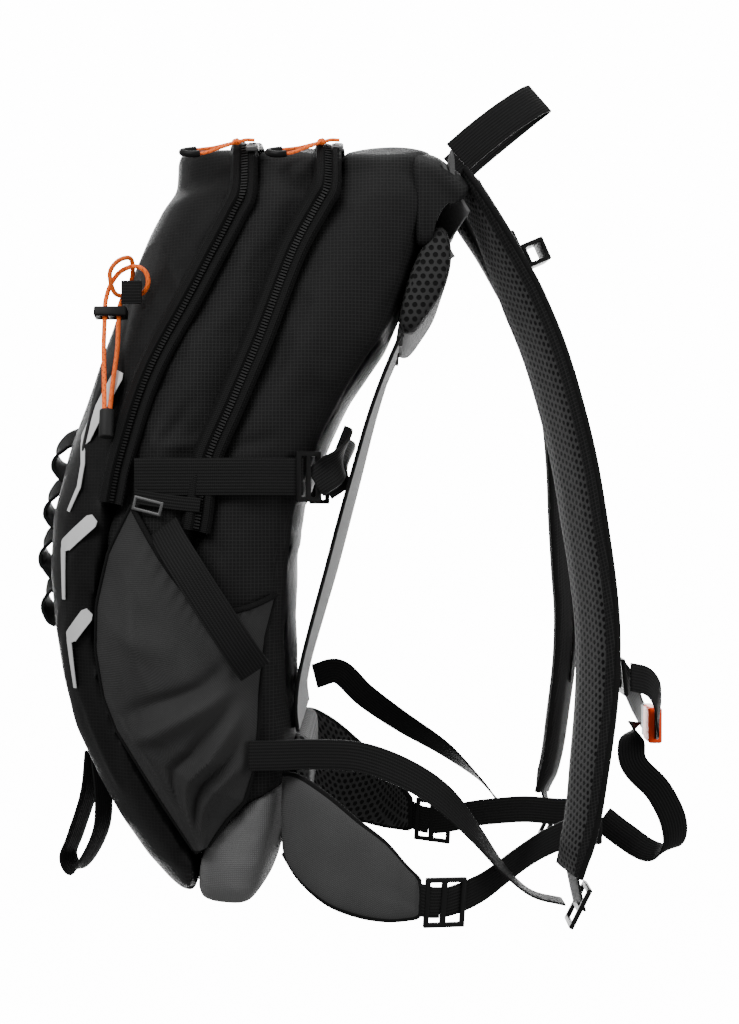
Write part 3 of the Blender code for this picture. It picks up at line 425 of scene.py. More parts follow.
# %% [markdown]
# Spacer mesh is a knit with open cells, and each cell is painted near-black as painted shade inside
# it.  Two shifted grids of dots make a honeycomb: a cell is where either grid's nearest centre is close.
# %% Spacer mesh
def spacer_mesh(name, thread, painted_cell_shade, cell, size=0.30, rough=0.85):
    material, along, across, cloth, solid = start(name)
    across_pitch = cell * math.sqrt(3)

    def dots(shift):
        u = maths("FRACT", along / cell + shift) - 0.5
        v = maths("FRACT", across / across_pitch + shift) - 0.5
        return maths("SQRT", u * u + v * v * 3.0)

    near = maths("MINIMUM", dots(0.0), dots(0.5))
    wall = node("MapRange", {"interpolation_type": "SMOOTHSTEP"}, near, size - 0.06, size + 0.06, 0.0, 1.0)
    knit = wave(along + across, 0.0007) * 0.3 + 0.7
    # the open cells take the painted shade colour, the threads their own grey
    tint = mix(wall * knit, grey(painted_cell_shade), grey(thread))
    return close(material, tint, rough, wall + knit * 0.2, 0.0009, Specular_IOR_Level=0.12)


# the third value is the painted shade inside the open cells
mesh_grey = spacer_mesh("grey_spacer_mesh", 0.042, 0.002, 0.0052)
mesh_dark = spacer_mesh("dark_spacer_mesh", 0.030, 0.003, 0.0056)


# %% [markdown]
# Moulded pieces have a fine spark-eroded grain and soft random blotches, lighter and rougher, where
# handling has rubbed them.  The reflective prints are a film of glass beads.  The cord is a braid with dark flecks.
# %% Moulded, metal and cord finishes
def moulded(name, base, rough, grain=0.00006, **direct):
    material, along, across, cloth, solid = start(name)
    fine = cloud(solid, 2400.0, 2.0)
    rubbed = cloud(solid, 60.0)
    dim = tuple(c * 0.8 for c in base[:3]) + (1.0,)
    return close(material, mix(rubbed, dim, base), rubbed * 0.2 + (rough - 0.1), fine, grain, **direct)


acetal_black = moulded("black_acetal", grey(0.006), 0.45, Specular_IOR_Level=0.08)
coil_nylon = moulded("coil_nylon", grey(0.008), 0.6, Specular_IOR_Level=0.15)
acetal_orange = moulded("orange_acetal", (0.95, 0.060, 0.006, 1.0), 0.45, Specular_IOR_Level=0.12)
soft_rubber = moulded("soft_rubber", grey(0.010), 0.62, Specular_IOR_Level=0.2)
die_cast = moulded("die_cast_metal", grey(0.14), 0.45, 0.0001, Metallic=1.0)
bent_wire = moulded("bent_wire", grey(0.09), 0.5, Metallic=1.0)
mill_aluminium = moulded("mill_aluminium", grey(0.6), 0.38, Metallic=1.0)
bead_film = moulded("bead_film", grey(0.62), 0.42, 0.0002, Metallic=0.25)


def braid(name):
    material, along, across, cloth, solid = start(name)
    strand = wave(along + across * 1.0, 0.0016) * 0.5 + wave(along - across, 0.0016) * 0.5
    fleck = lines(along + across, 0.0046, 0.22) * lines(along - across, 0.0031, 0.5)
    orange = mix(strand, (0.80, 0.085, 0.003, 1.0), (1.0, 0.190, 0.008, 1.0))
    tint = mix(fleck, orange, (0.25, 0.025, 0.004, 1.0))
    return close(material, tint, 0.65, strand, 0.0003, Specular_IOR_Level=0.3)


cord_braid = braid("orange_braid")
white_stage = moulded("white_paper", grey(0.95), 0.95, Emission_Color=grey(1.0), Emission_Strength=14.0)
backdrop.data.materials.append(white_stage)
print("finishes:", len(bpy.data.materials))


# %% [markdown]
# Each soft piece starts as a flat grid whose corners are mapped to the place that the cloth
# takes, as a tailor lays cloth on a form.  The grid keeps its own distances in its UV map.  A
# padded piece is the same grid wrapped round into a sleeve and closed at both ends.
# %% Laying a grid on a form
def measured_uv(bm, grid, rows, columns):
    """Writes UVs in metres: the mean length along and across of the laid grid."""
    layer = bm.loops.layers.uv.new("cloth")
    spots = {}
    for j in range(columns + 1):
        run = 0.0
        for i in range(rows + 1):
            if i:
                run += (grid[i][j].co - grid[i - 1][j].co).length
            spots[grid[i][j]] = [run, 0.0]
    for i in range(rows + 1):
        reach = 0.0
        for j in range(columns + 1):
            if j:
                reach += (grid[i][j].co - grid[i][j - 1].co).length
            spots[grid[i][j]][1] = reach
    for face in bm.faces:
        for loop in face.loops:
            loop[layer].uv = spots[loop.vert]


BINDING_RADIUS = 0.0022       # of the tape rolled round the edge of a pad


def laid_grid(rows, columns, place, paint=None):
    """A grid with each corner at place(i / rows, j / columns); paint picks each face's finish."""
    bm = bmesh.new()
    made = bmesh.ops.create_grid(bm, x_segments=rows, y_segments=columns, size=0.5)
    ordered = sorted(made["verts"], key=lambda v: (round(v.co.x, 5), round(v.co.y, 5)))
    grid = [ordered[i * (columns + 1):(i + 1) * (columns + 1)] for i in range(rows + 1)]
    if paint:
        for face in bm.faces:
            middle = face.calc_center_median()
            face.material_index = paint(middle.x + 0.5, middle.y + 0.5)
    spots = {v: place(i / rows, j / columns) for i, row in enumerate(grid) for j, v in enumerate(row)}
    for vert, spot in spots.items():
        vert.co = spot
    measured_uv(bm, grid, rows, columns)
    return bm


def smooth_shade(made, angle=None):
    for face in made.data.polygons:
        face.use_smooth = True
    if angle is not None:
        made.data.set_sharp_from_angle(angle=math.radians(angle))
    return made


def dress(made, finishes, body, slot_name, node_name=None):
    """Gives a piece its finishes, the body it rides on, the record's slot and the node it stands for."""
    if made.data.materials:
        made.data.materials.clear()      # clearing also forgets which face has which finish
    for finish in finishes if isinstance(finishes, list) else [finishes]:
        made.data.materials.append(finish)
    if body:
        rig.ride(made, body)
    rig.slot(made, slot_name)
    if node_name:
        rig.replaces(made, node_name)
    return made


def apply_modifiers(made):
    """Freezes a piece's modifiers into its mesh."""
    evaluated = made.evaluated_get(bpy.context.evaluated_depsgraph_get())
    mesh = bpy.data.meshes.new_from_object(evaluated)
    made.modifiers.clear()
    made.data = mesh
    return made


def thicken(made, thick, offset=0.0, rounding=0.0):
    """Gives a laid grid its cloth thickness and, for stiff goods, a rounded edge."""
    wall = made.modifiers.new("wall", "SOLIDIFY")
    wall.thickness = thick
    wall.offset = offset
    wall.use_even_offset = True
    if rounding:
        edge = made.modifiers.new("edge", "BEVEL")
        edge.width = rounding
        edge.segments = 2
        edge.limit_method = "ANGLE"
        edge.angle_limit = math.radians(50)
    return apply_modifiers(made)


def sheet_piece(name, rows, columns, place, thick, offset=0.0, rounding=0.0):
    made = thicken(new_object(name, laid_grid(rows, columns, place)), thick, offset, rounding)
    return smooth_shade(made, 40)


def sleeve(name, rows, around, place, paint=None):
    """A closed padded form: place(along, turn) with turn from 0 to 1 round the section."""
    bm = laid_grid(rows, around, place, paint)
    bmesh.ops.remove_doubles(bm, verts=bm.verts, dist=1e-6)
    rims = [edge for edge in bm.edges if edge.is_boundary]
    bmesh.ops.holes_fill(bm, edges=rims, sides=0)
    bmesh.ops.recalc_face_normals(bm, faces=bm.faces)
    return smooth_shade(new_object(name, bm), 60)


def smooth_route(points, per_span=6):
    """A smooth curve through points of any dimension."""
    rows = [Vector(p) for p in points]
    ends = [2 * rows[0] - rows[1]] + rows + [2 * rows[-1] - rows[-2]]
    route = []
    for k in range(1, len(ends) - 2):
        a, b, c, d = ends[k - 1:k + 3]
        for step in range(per_span):
            t = step / per_span
            bend = (2 * a - 5 * b + 4 * c - d) * t * t + (3 * b - a - 3 * c + d) * t ** 3
            route.append(b + 0.5 * ((c - a) * t + bend))
    return route + [rows[-1]]


def at_share(rows, share):
    """A value a share of the way along a list of vectors."""
    k = min(max(share, 0.0), 1.0) * (len(rows) - 1)
    i = min(int(k), len(rows) - 2)
    return rows[i].lerp(rows[i + 1], k - i)


def frame_at(route, sides, share):
    """Point, width direction and outward direction of a band at a share of its length."""
    point = at_share(route, share)
    ahead = (at_share(route, share + 0.01) - at_share(route, share - 0.01)).normalized()
    side = at_share(sides, share)
    side = (side - ahead * side.dot(ahead)).normalized()
    return point, side, ahead.cross(side)


def tube_place(path, radius):
    """Places a sleeve's grid round a path, for cords, bindings and piping."""
    rows = [Vector(p) for p in path]
    side = (rows[1] - rows[0]).orthogonal().normalized()
    sides = []
    for k in range(len(rows)):
        ahead = (rows[min(k + 1, len(rows) - 1)] - rows[max(k - 1, 0)]).normalized()
        side = (side - ahead * side.dot(ahead)).normalized()
        sides.append(side)

    def place(along, turn):
        spot, across, out = frame_at(rows, sides, along)
        angle = 2 * math.pi * turn
        return spot + (across * math.cos(angle) + out * math.sin(angle)) * radius

    return place


# %% [markdown]
# The bag's form repeats the CAD's driving curves: where its outer face and its back are at each
# height, and how wide it is.  Every seam, zip and print on the bag is laid on this form.
# %% The bag's form
FRONT_PROFILE = [(-0.272, -0.122), (-0.251, -0.148), (-0.207, -0.180), (-0.128, -0.216),
                 (-0.035, -0.227), (0.059, -0.209), (0.117, -0.1875), (0.178, -0.165),
                 (0.230, -0.1440), (0.262, -0.130)]
BACK_PROFILE = [(-0.272, -0.084), (-0.259, -0.074), (-0.223, -0.062), (-0.160, -0.053),
                (-0.085, -0.058), (-0.012, -0.053), (0.048, -0.033), (0.090, -0.013),
                (0.127, 0.013), (0.193, 0.040), (0.230, 0.053), (0.262, 0.054)]
HALF_WIDTHS = [(-0.272, 0.080), (-0.262, 0.098), (-0.240, 0.111), (-0.180, 0.123),
               (-0.080, 0.130), (0.020, 0.130), (0.120, 0.123), (0.190, 0.114), (0.262, 0.106)]
BAG_TOP = 0.262
ARCH_RADIUS = 0.26
FRONT_TAPER = 0.18
FRONT_ROUNDNESS = 2.8
BACK_ROUNDNESS = 6.0
SHOULDER = 0.230             # height at which the walls turn in to the lid
RIGHT = -1
LEFT = 1
SIDES = ((RIGHT, "right"), (LEFT, "left"))


def curve_value(points, at):
    """Cubic through (position, value) points, with limited slopes so it never overshoots."""
    last = len(points) - 1
    at = min(max(at, points[0][0]), points[last][0])
    k = 0
    while k < last - 1 and at > points[k + 1][0]:
        k += 1
    rises = [(points[i + 1][1] - points[i][1]) / (points[i + 1][0] - points[i][0]) for i in range(last)]

    def slope(i):
        if i in (0, last):
            return rises[min(i, last - 1)]
        before, after = rises[i - 1], rises[i]
        return 0.0 if before * after <= 0 else 2 * before * after / (before + after)

    width = points[k + 1][0] - points[k][0]
    t = (at - points[k][0]) / width
    first = (1 + 2 * t) * (1 - t) ** 2 * points[k][1] + t * (1 - t) ** 2 * width * slope(k)
    second = t * t * (3 - 2 * t) * points[k + 1][1] - t * t * (1 - t) * width * slope(k + 1)
    return first + second


def front_at(z):
    return curve_value(FRONT_PROFILE, z)


def back_at(z):
    return curve_value(BACK_PROFILE, z)


def side_at(x, z):
    """Half width of the bag at a place on its side."""
    front, back = front_at(z), back_at(z)
    along = min(max((2 * x - front - back) / (back - front), -1.0), 1.0)
    power = FRONT_ROUNDNESS if along < 0 else BACK_ROUNDNESS
    share = (1 - abs(along) ** power) ** (1 / power)
    return curve_value(HALF_WIDTHS, z) * share * (1 - FRONT_TAPER * (1 - along) / 2)


def side_point(side, x, z, stand_off):
    return Vector((x, side * (side_at(x, z) + stand_off), z))


# %% [markdown]
# A panel is the CAD's closed solid, remeshed finely and puffed with a short cloth simulation.
# Pressure swells it between its seams as packed kit does, and a limit keeps it within the cloth's
# give.  Creases are then pressed in one by one from a list, because a simulation puts them where it likes.
# %% Panels of the bag
def node_copy(name, node_name):
    """A closed, welded copy of a CAD node's mesh."""
    bm = bmesh.new()
    bm.from_mesh(frame["nodes"][node_name].data)
    bmesh.ops.remove_doubles(bm, verts=bm.verts, dist=1e-5)
    bmesh.ops.recalc_face_normals(bm, faces=bm.faces)
    made = new_object(name, bm)
    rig.replaces(made, node_name)
    return made


def remesh(made, voxel):
    step = made.modifiers.new("voxels", "REMESH")
    step.mode = "VOXEL"
    step.voxel_size = voxel
    return apply_modifiers(made)


def relax(made, passes, factor=0.5):
    step = made.modifiers.new("relax", "SMOOTH")
    step.iterations = passes
    step.factor = factor
    return apply_modifiers(made)


def puff(made, pressure=4.0, frames=14, cap=0.006):
    """Swells a piece with a cloth simulation and caps how far each point moves."""
    rest = [v.co.copy() for v in made.data.vertices]
    cloth = made.modifiers.new("puff", "CLOTH")
    cloth.settings.use_pressure = True
    cloth.settings.uniform_pressure_force = pressure
    cloth.settings.effector_weights.gravity = 0
    cloth.settings.quality = 4
    cloth.settings.tension_stiffness = 25
    cloth.settings.bending_stiffness = 1.5
    cloth.point_cache.frame_start = 1
    cloth.point_cache.frame_end = frames
    for number in range(1, frames + 1):
        bpy.context.scene.frame_set(number)
    apply_modifiers(made)
    bpy.context.scene.frame_set(1)
    for vert, start_place in zip(made.data.vertices, rest):
        move = vert.co - start_place
        if move.length > cap:
            vert.co = start_place + move.normalized() * cap
    return made


def box_uv(made):
    """UVs in metres, taken straight on to each face from the axis it faces most."""
    layer = made.data.uv_layers.new(name="cloth")
    for face in made.data.polygons:
        turn = [abs(c) for c in face.normal]
        turn[0] *= 0.85
        facing = turn.index(max(turn))
        picks = [(1, 2), (0, 2), (0, 1)][facing]
        for k in face.loop_indices:
            spot = made.data.vertices[made.data.loops[k].vertex_index].co
            layer.data[k].uv = (spot[picks[0]], spot[picks[1]])


def crease_depth(spot, creases):
    """How far a point is pushed by creases: (start, end, half width, depth), depth out of the skin."""
    total = 0.0
    for start_point, end_point, half_width, depth in creases:
        line = end_point - start_point
        share = (spot - start_point).dot(line) / line.length_squared
        if -0.15 < share < 1.15:
            away = (spot - start_point - line * share).length / half_width
            fade = max(0.0, 1 - (2 * share - 1) ** 2 * 0.75)
            total += depth * fade * math.exp(-away * away)
    return total


def rumple(made, height, size, creases=(), seed=0.0):
    """Presses creases and a soft unevenness into a panel along its normals."""
    moves = []
    for vert in made.data.vertices:
        spot = vert.co * (1 / size) + Vector((seed, seed * 2, seed * 3))
        slanted = Vector((spot.x + spot.z * 0.35, spot.y, spot.z * 0.45))
        ridge = 1 - 2 * abs(noise.noise(slanted))
        moves.append(vert.normal * (height * (ridge - 0.5) + crease_depth(vert.co, creases)))
    for vert, move in zip(made.data.vertices, moves):
        vert.co += move
    return made


def both(*creases):
    """Mirrors creases drawn on the right side onto the left."""
    rows = []
    for (x0, z0), (x1, z1), half_width, depth in creases:
        for side, word in SIDES:
            ends = [side_point(side, x, z, 0.0) for x, z in ((x0, z0), (x1, z1))]
            rows.append((*ends, half_width, depth))
    return rows


PANELS = [
    # name, node, finish, slot, swell, rumple height, creases as (start, end, half width, depth)
    ("front_panel", "front_pocket", panel_cloth, "panel_fabric", 0.0030, 0.0022,
     both(((-0.150, 0.215), (-0.178, 0.120), 0.006, 0.0022),
          ((-0.163, 0.160), (-0.172, 0.060), 0.004, -0.0024),
          ((-0.190, -0.010), (-0.215, -0.085), 0.005, 0.0028),
          ((-0.195, 0.040), (-0.180, 0.095), 0.005, 0.002),
          ((-0.200, -0.120), (-0.170, -0.190), 0.005, 0.0025))),
    ("middle_panel", "middle_compartment", shell_cloth, "shell_fabric", 0.0030, 0.0021,
     both(((-0.045, 0.225), (-0.075, 0.140), 0.006, -0.0012),
          ((-0.118, 0.075), (-0.150, 0.030), 0.004, -0.0022),
          ((-0.110, 0.045), (-0.145, 0.044), 0.004, 0.0020),
          ((-0.135, 0.056), (-0.160, 0.010), 0.005, 0.0018))),
    ("main_panel", "main_compartment", shell_cloth, "shell_fabric", 0.0035, 0.0021,
     both(((0.020, 0.200), (0.045, 0.150), 0.006, -0.0014),
          ((-0.010, 0.170), (0.020, 0.120), 0.006, 0.0014),
          ((-0.030, 0.105), (-0.005, 0.060), 0.005, -0.0014),
          ((-0.100, 0.042), (-0.060, 0.050), 0.005, -0.0016),
          ((-0.085, -0.020), (-0.070, -0.120), 0.007, 0.0016),
          ((-0.060, -0.010), (-0.058, -0.140), 0.004, -0.0012))),
    ("back_panel_cover", "back_panel", shell_cloth, "shell_fabric", 0.0008, 0.0004, []),
    ("boot_panel", "bottom_boot", pack_cloth, "grey_fabric", 0.0022, 0.0012,
     both(((-0.100, -0.225), (-0.075, -0.262), 0.005, 0.0016),
          ((-0.080, -0.215), (-0.064, -0.235), 0.004, -0.0016))),
]
for number, (name, node_name, finish, slot_name, swell, height, creases) in enumerate(PANELS):
    panel = remesh(node_copy(name, node_name), 0.0042)
    relax(panel, 3)
    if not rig.quick():
        puff(panel, cap=swell)
    relax(panel, 2)
    smoother = panel.modifiers.new("smoother", "SUBSURF")
    smoother.levels = smoother.render_levels = 1
    apply_modifiers(panel)
    rumple(panel, height, 0.055, creases, number * 3.7)
    box_uv(panel)
    smooth_shade(dress(panel, finish, "bag", slot_name))
    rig.padded(panel, fill=0.7)
    print(name, len(panel.data.polygons), "faces")


# %% [markdown]
# A zip on this pack is a dark coil between two turned-in lips, shell cloth on the pack and given the
# zip tape's finish here, stitched along their outer edges.  Its line is the CAD's cut line: down each side of the bag
# and over the lid.
# The path runs from the right side's foot, over the arch, to the left side's foot.
# %% Zip lines
FRONT_CUT = [(-0.080, 0.300), (-0.0813, 0.2333), (-0.1147, 0.160), (-0.148, 0.0967),
             (-0.1667, 0.038), (-0.1733, 0.006), (-0.1847, -0.060), (-0.1867, -0.093),
             (-0.172, -0.148), (-0.116, -0.238)]
MAIN_CUT = [(-0.022, 0.300), (-0.0244, 0.234), (-0.0515, 0.177), (-0.073, 0.119),
            (-0.092, 0.0726), (-0.109, 0.031), (-0.1155, -0.0125), (-0.130, -0.060),
            (-0.145, -0.110)]
FRONT_ZIP_END = 0.004
MAIN_ZIP_END = -0.014
LIP_WIDTH = 0.0085           # each turned-in lip
LIP_GAP = 0.0014             # from the zip's middle to a lip's edge
BAG_AXIS_X = -0.06           # teeth stand up away from this line
TEETH_TURN_TOP = 0.10        # above this height they stand up from one point
TEETH_WIDTH = 0.0052
TOOTH_PITCH = 0.0021


def lid_place(x, y, height):
    """A place over the arched lid, at a distance across the pack and a height above it."""
    turn = y / ARCH_RADIUS
    radius = ARCH_RADIUS + height
    return Vector((x, radius * math.sin(turn), BAG_TOP - ARCH_RADIUS + radius * math.cos(turn)))


def zip_line(points, foot):
    """Evenly spaced XZ points of a zip on the bag's wall, from its foot up to the shoulder."""
    line = [Vector(p) for p in smooth_route(points, 10)]
    return [p for p in line[::-1] if foot < p.y < SHOULDER - 0.004]


def over_the_bag(line, off, height):
    """The whole path of a line shifted sideways on the skin: up one wall, over, down the other."""
    walls = []
    for k, spot in enumerate(line):
        ahead = (line[min(k + 1, len(line) - 1)] - line[max(k - 1, 0)]).normalized()
        walls.append((spot.x + ahead.y * off, spot.y - ahead.x * off))
    right = [side_point(RIGHT, x, z, height) for x, z in walls]
    x_top = walls[-1][0]
    edge = abs(right[-1].y)
    lid = []
    for t in (-0.97, -0.9, -0.75, -0.5, -0.25, 0.0, 0.25, 0.5, 0.75, 0.9, 0.97):
        x = x_top + (line[-1].x + 0.0005 + off - x_top) * min(1.0, 2 - 2 * abs(t))
        lid.append(lid_place(x, edge * t * 0.94, height))
    left = [side_point(LEFT, x, z, height) for x, z in walls[::-1]]
    return [Vector(p) for p in smooth_route(right[::2] + lid + left[::2], 4)]


def zip_band(name, line, inner, outer, height, crown, finish, slot_name, thick=0.0009):
    """A band of cloth between two offsets of a zip's line, crowned between its edges."""
    paths = [over_the_bag(line, off, lift) for off, lift in
             ((inner, height * 0.4), (inner * 0.7 + outer * 0.3, height + crown),
              (inner * 0.3 + outer * 0.7, height + crown * 0.8), (outer, 0.0003))]
    count = min(len(p) for p in paths)
    rows = count - 1
    made = sheet_piece(name, rows, 3, lambda i, j: paths[round(j * 3)][round(i * rows)], thick, 1.0)
    return dress(made, finish, "bag", slot_name)


ZIPS = {"front": zip_line(FRONT_CUT, FRONT_ZIP_END), "main": zip_line(MAIN_CUT, MAIN_ZIP_END)}
for word, line in ZIPS.items():
    for edge, sign in (("outer", -1), ("inner", 1)):
        zip_band(f"{word}_zip_{edge}_lip", line, sign * LIP_GAP, sign * (LIP_GAP + LIP_WIDTH), 0.0032, 0.0016,
                 zip_tape, "zip_black")
    tape = zip_band(f"{word}_zip_tape", line, -0.0042, 0.0042, 0.0016, 0.0002, zip_tape, "zip_black", 0.0006)
    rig.replaces(tape, f"{word}_zip")
    path = over_the_bag(line, 0.0, 0.0030)
    bm = bmesh.new()
    travelled, next_tooth = 0.0, TOOTH_PITCH
    for before, after in zip(path, path[1:]):
        step = (after - before).length
        while next_tooth < travelled + step:
            spot = before.lerp(after, (next_tooth - travelled) / step)
            ahead = (after - before).normalized()
            centre = Vector((BAG_AXIS_X, 0.0, min(spot.z, TEETH_TURN_TOP)))
            out = (spot - centre).normalized()
            out = (out - ahead * out.dot(ahead)).normalized()
            turn = Matrix((ahead, out.cross(ahead), out)).transposed().to_4x4()
            tooth = bmesh.ops.create_cube(bm, size=1.0)["verts"]
            bmesh.ops.scale(bm, verts=tooth, vec=(TOOTH_PITCH * 0.52, TEETH_WIDTH, 0.0014))
            bmesh.ops.transform(bm, verts=tooth, matrix=Matrix.Translation(spot) @ turn)
            next_tooth += TOOTH_PITCH
        travelled += step
    dress(new_object(f"{word}_zip_teeth", bm), coil_nylon, "bag", "zip_black")
    print(word, "zip length", round(travelled, 3), "m")

# %% [markdown]
# Each lip is held by a row of stitches a few millimetres from its outer edge.  Stitches are small
# rods laid along the path, a few faces each, because there are hundreds.
# %% Stitching
STITCH = 0.0026


def stitches(name, path, size=0.00055):
    """Short thread bars end to end along a path."""
    bm = bmesh.new()
    travelled, next_stitch = 0.0, 0.0
    for before, after in zip(path, path[1:]):
        step = (after - before).length
        while next_stitch < travelled + step and step > 1e-7:
            spot = before.lerp(after, (next_stitch - travelled) / step)
            turn = Vector((1, 0, 0)).rotation_difference(after - before).to_matrix().to_4x4()
            bar = bmesh.ops.create_cube(bm, size=1.0)["verts"]
            bmesh.ops.scale(bm, verts=bar, vec=(STITCH * 0.68, size, size))
            bmesh.ops.transform(bm, verts=bar, matrix=Matrix.Translation(spot) @ turn)
            next_stitch += STITCH
        travelled += step
    return dress(new_object(name, bm), binding_tape, "bag", "black_webbing")


for word, line in ZIPS.items():
    for edge, sign in (("outer", -1), ("inner", 1)):
        stitches(f"{word}_zip_{edge}_stitches", over_the_bag(line, sign * (LIP_WIDTH - 0.0005), 0.0042))
print("lips stitched")

# %% [markdown]
# The reflective prints on the outer panel are three slanting bars, each with a thin tail that
# steps down from it.  They are films a fraction of a millimetre thick, laid on the cloth.
# %% Reflective prints
PRINTS = [
    # each is (x, z, half width) down the bar and its tail
    [(-0.1705, 0.0960, 0.0030), (-0.1725, 0.0925, 0.0048), (-0.1955, 0.0510, 0.0048),
     (-0.1975, 0.0465, 0.0020), (-0.1962, 0.0330, 0.0017), (-0.1985, 0.0170, 0.0016),
     (-0.2068, 0.0005, 0.0013)],
    [(-0.1850, -0.0040, 0.0030), (-0.1875, -0.0062, 0.0050), (-0.2080, -0.0225, 0.0050),
     (-0.2104, -0.0260, 0.0020), (-0.2102, -0.0400, 0.0017), (-0.2100, -0.0600, 0.0013)],
    [(-0.1885, -0.0670, 0.0030), (-0.1908, -0.0697, 0.0050), (-0.2040, -0.0850, 0.0050),
     (-0.2060, -0.0885, 0.0020), (-0.2045, -0.1030, 0.0017), (-0.2025, -0.1210, 0.0013)],
]
for number, rows in enumerate(PRINTS):
    for side, word in SIDES:
        spine = [Vector(row) for row in rows]

        def on_panel(i, j):
            spot = at_share(spine, i)
            before, after = at_share(spine, i - 0.03), at_share(spine, i + 0.03)
            ahead = Vector((after.x - before.x, after.y - before.y)).normalized()
            off = (j - 0.5) * 2 * spot.z
            z = spot.y + ahead.x * off
            x = max(spot.x - ahead.y * off, front_at(z) + 0.0060)
            return side_point(side, x, z, 0.0050)

        made = sheet_piece(f"reflective_print_{word}_{number + 1}", 72, 4, on_panel, 0.0005)
        dress(made, bead_film, "bag", "panel_fabric")
print("prints laid")


# %% [markdown]
# The side pocket is one piece of stretch cloth, sewn at three edges and open at an elastic hem.
# Its loose cloth falls in long slanting folds, which are pressed into the grid it is laid on.
# %% Stretch side pockets
POCKET_FRONT = [(-0.159, 0.0046), (-0.175, -0.027), (-0.1835, -0.062), (-0.1845, -0.093),
                (-0.1795, -0.1245), (-0.171, -0.146), (-0.142, -0.192), (-0.116, -0.232)]
POCKET_BACK = [(-0.063, -0.0557), (-0.069, -0.082), (-0.0725, -0.1186), (-0.0735, -0.145),
               (-0.0765, -0.172), (-0.083, -0.193), (-0.095, -0.206), (-0.110, -0.227)]
HEM_SAG = 0.034
POCKET_BULGE = 0.016
POCKET_SKIN = 0.0010
POCKET_STAND_OFF = 0.0018     # of the cloth above the panel
SEAM_STAND_OFF = 0.0022       # of the bindings above it
FOLDS = [((0.14, 0.72), (0.86, 0.26), 0.034, 0.0085), ((0.09, 0.63), (0.82, 0.19), 0.028, -0.0060),
         ((0.40, 0.96), (0.93, 0.34), 0.032, 0.0080), ((0.32, 0.88), (0.86, 0.30), 0.026, -0.0060),
         ((0.58, 0.98), (0.97, 0.50), 0.028, 0.0055), ((0.51, 0.92), (0.93, 0.43), 0.022, -0.0045),
         ((0.04, 0.34), (0.50, 0.20), 0.045, 0.0040), ((0.12, 0.12), (0.34, 0.42), 0.035, 0.0036),
         ((0.04, 0.54), (0.30, 0.86), 0.032, 0.0034), ((0.66, 0.10), (0.90, 0.30), 0.035, 0.0034)]


def pocket_spot(s, t):
    """A place on the pocket in XZ: s runs from its front edge to its back, t down."""
    k = t * (len(POCKET_FRONT) - 1)
    i = min(int(k), len(POCKET_FRONT) - 2)
    first = Vector(POCKET_FRONT[i]).lerp(Vector(POCKET_FRONT[i + 1]), k - i)
    second = Vector(POCKET_BACK[i]).lerp(Vector(POCKET_BACK[i + 1]), k - i)
    spot = first.lerp(second, s)
    spot.y -= HEM_SAG * (1 - t) ** 2 * math.sin(math.pi * s)
    return spot


def fold_height(s, t):
    """Sum of the folds at a place on the pocket, fading out at its sewn edges."""
    total = 0.0
    for (s0, t0), (s1, t1), half_width, depth in FOLDS:
        line = Vector((s1 - s0, t1 - t0))
        share = (Vector((s - s0, t - t0)).dot(line)) / line.length_squared
        away = (Vector((s - s0, t - t0)) - line * share).length / half_width
        fade = max(0.0, 1 - (2 * share - 1) ** 2)
        total += depth * fade * math.exp(-away * away)
    edge = min(1.0, 8 * s, 8 * (1 - s), 6 * (1.02 - t))
    return total * edge


def pocket_out(s, t):
    """How far the pocket stands off the bag: its fullness, its folds and its gathered hem."""
    full = math.sin(math.pi * s) ** 0.8 * (0.55 + 0.75 * math.sin(math.pi * min(t * 0.9 + 0.12, 1.0)))
    gather = 0.0011 * math.sin(s * 95) * math.exp(-((t / 0.07) ** 2))
    return POCKET_BULGE * full + fold_height(s, t) + gather * math.sin(math.pi * s)


def pocket_place(side, s, t, extra=0.0):
    spot = pocket_spot(s, t * 0.985)
    return side_point(side, spot.x, spot.y, max(0.0016, pocket_out(s, t)) + extra)


for side, word in SIDES:
    pocket = sheet_piece(f"stretch_pocket_{word}", 72, 90,
                         lambda i, j: pocket_place(side, i, j, POCKET_STAND_OFF), POCKET_SKIN)
    dress(pocket, stretch_cloth, "bag", "pocket_fabric", f"side_pocket_{word}")
    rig.sheet(pocket, flat=(0.130, 0.235), held="stretched", rests_on=["main_panel", "middle_panel"],
             area=0.0235)
    hem_line = [pocket_place(side, k / 60, 0.0, POCKET_STAND_OFF) for k in range(61)]
    back_seam = [pocket_place(side, 1.0, k / 40, SEAM_STAND_OFF) for k in range(41)]
    front_seam = [pocket_place(side, 0.0, k / 40, SEAM_STAND_OFF) for k in range(41)]
    for label, line, radius in (("hem", hem_line, 0.0021), ("back_binding", back_seam, 0.0014),
                                ("front_binding", front_seam, 0.0012)):
        rail = sleeve(f"pocket_{label}_{word}", 80, 8, tube_place(line, radius))
        dress(rail, binding_tape, "bag", "pocket_fabric")
print("pockets laid")

# %% [markdown]
# Webbing is woven flat, so it turns edgewise only with a twist.  Each band is a grid swept along
# a smooth curve with its own width direction, thickened to 1.5 mm and rounded at its edges.
# %% Webbing on the bag
WEBBING_WIDE = 0.025
WEBBING_NARROW = 0.020
WEBBING_THICK = 0.0015


def band(name, points, width, body, node_name=None, rows=60, thick=WEBBING_THICK, finish=None, curl=0.0):
    """A webbing band; each point is (x, y, z, side x, side y, side z)."""
    route = smooth_route([p[:3] for p in points], 8)
    sides = smooth_route([p[3:] for p in points], 8)

    def place(i, j):
        spot, side, up = frame_at(route, sides, i)
        return spot + side * ((j - 0.5) * width) + up * (curl * (2 * j - 1) ** 2)

    made = sheet_piece(name, rows, 4, place, thick, 0.0, 0.0004)
    return dress(made, finish or webbing_black, body, "black_webbing", node_name)


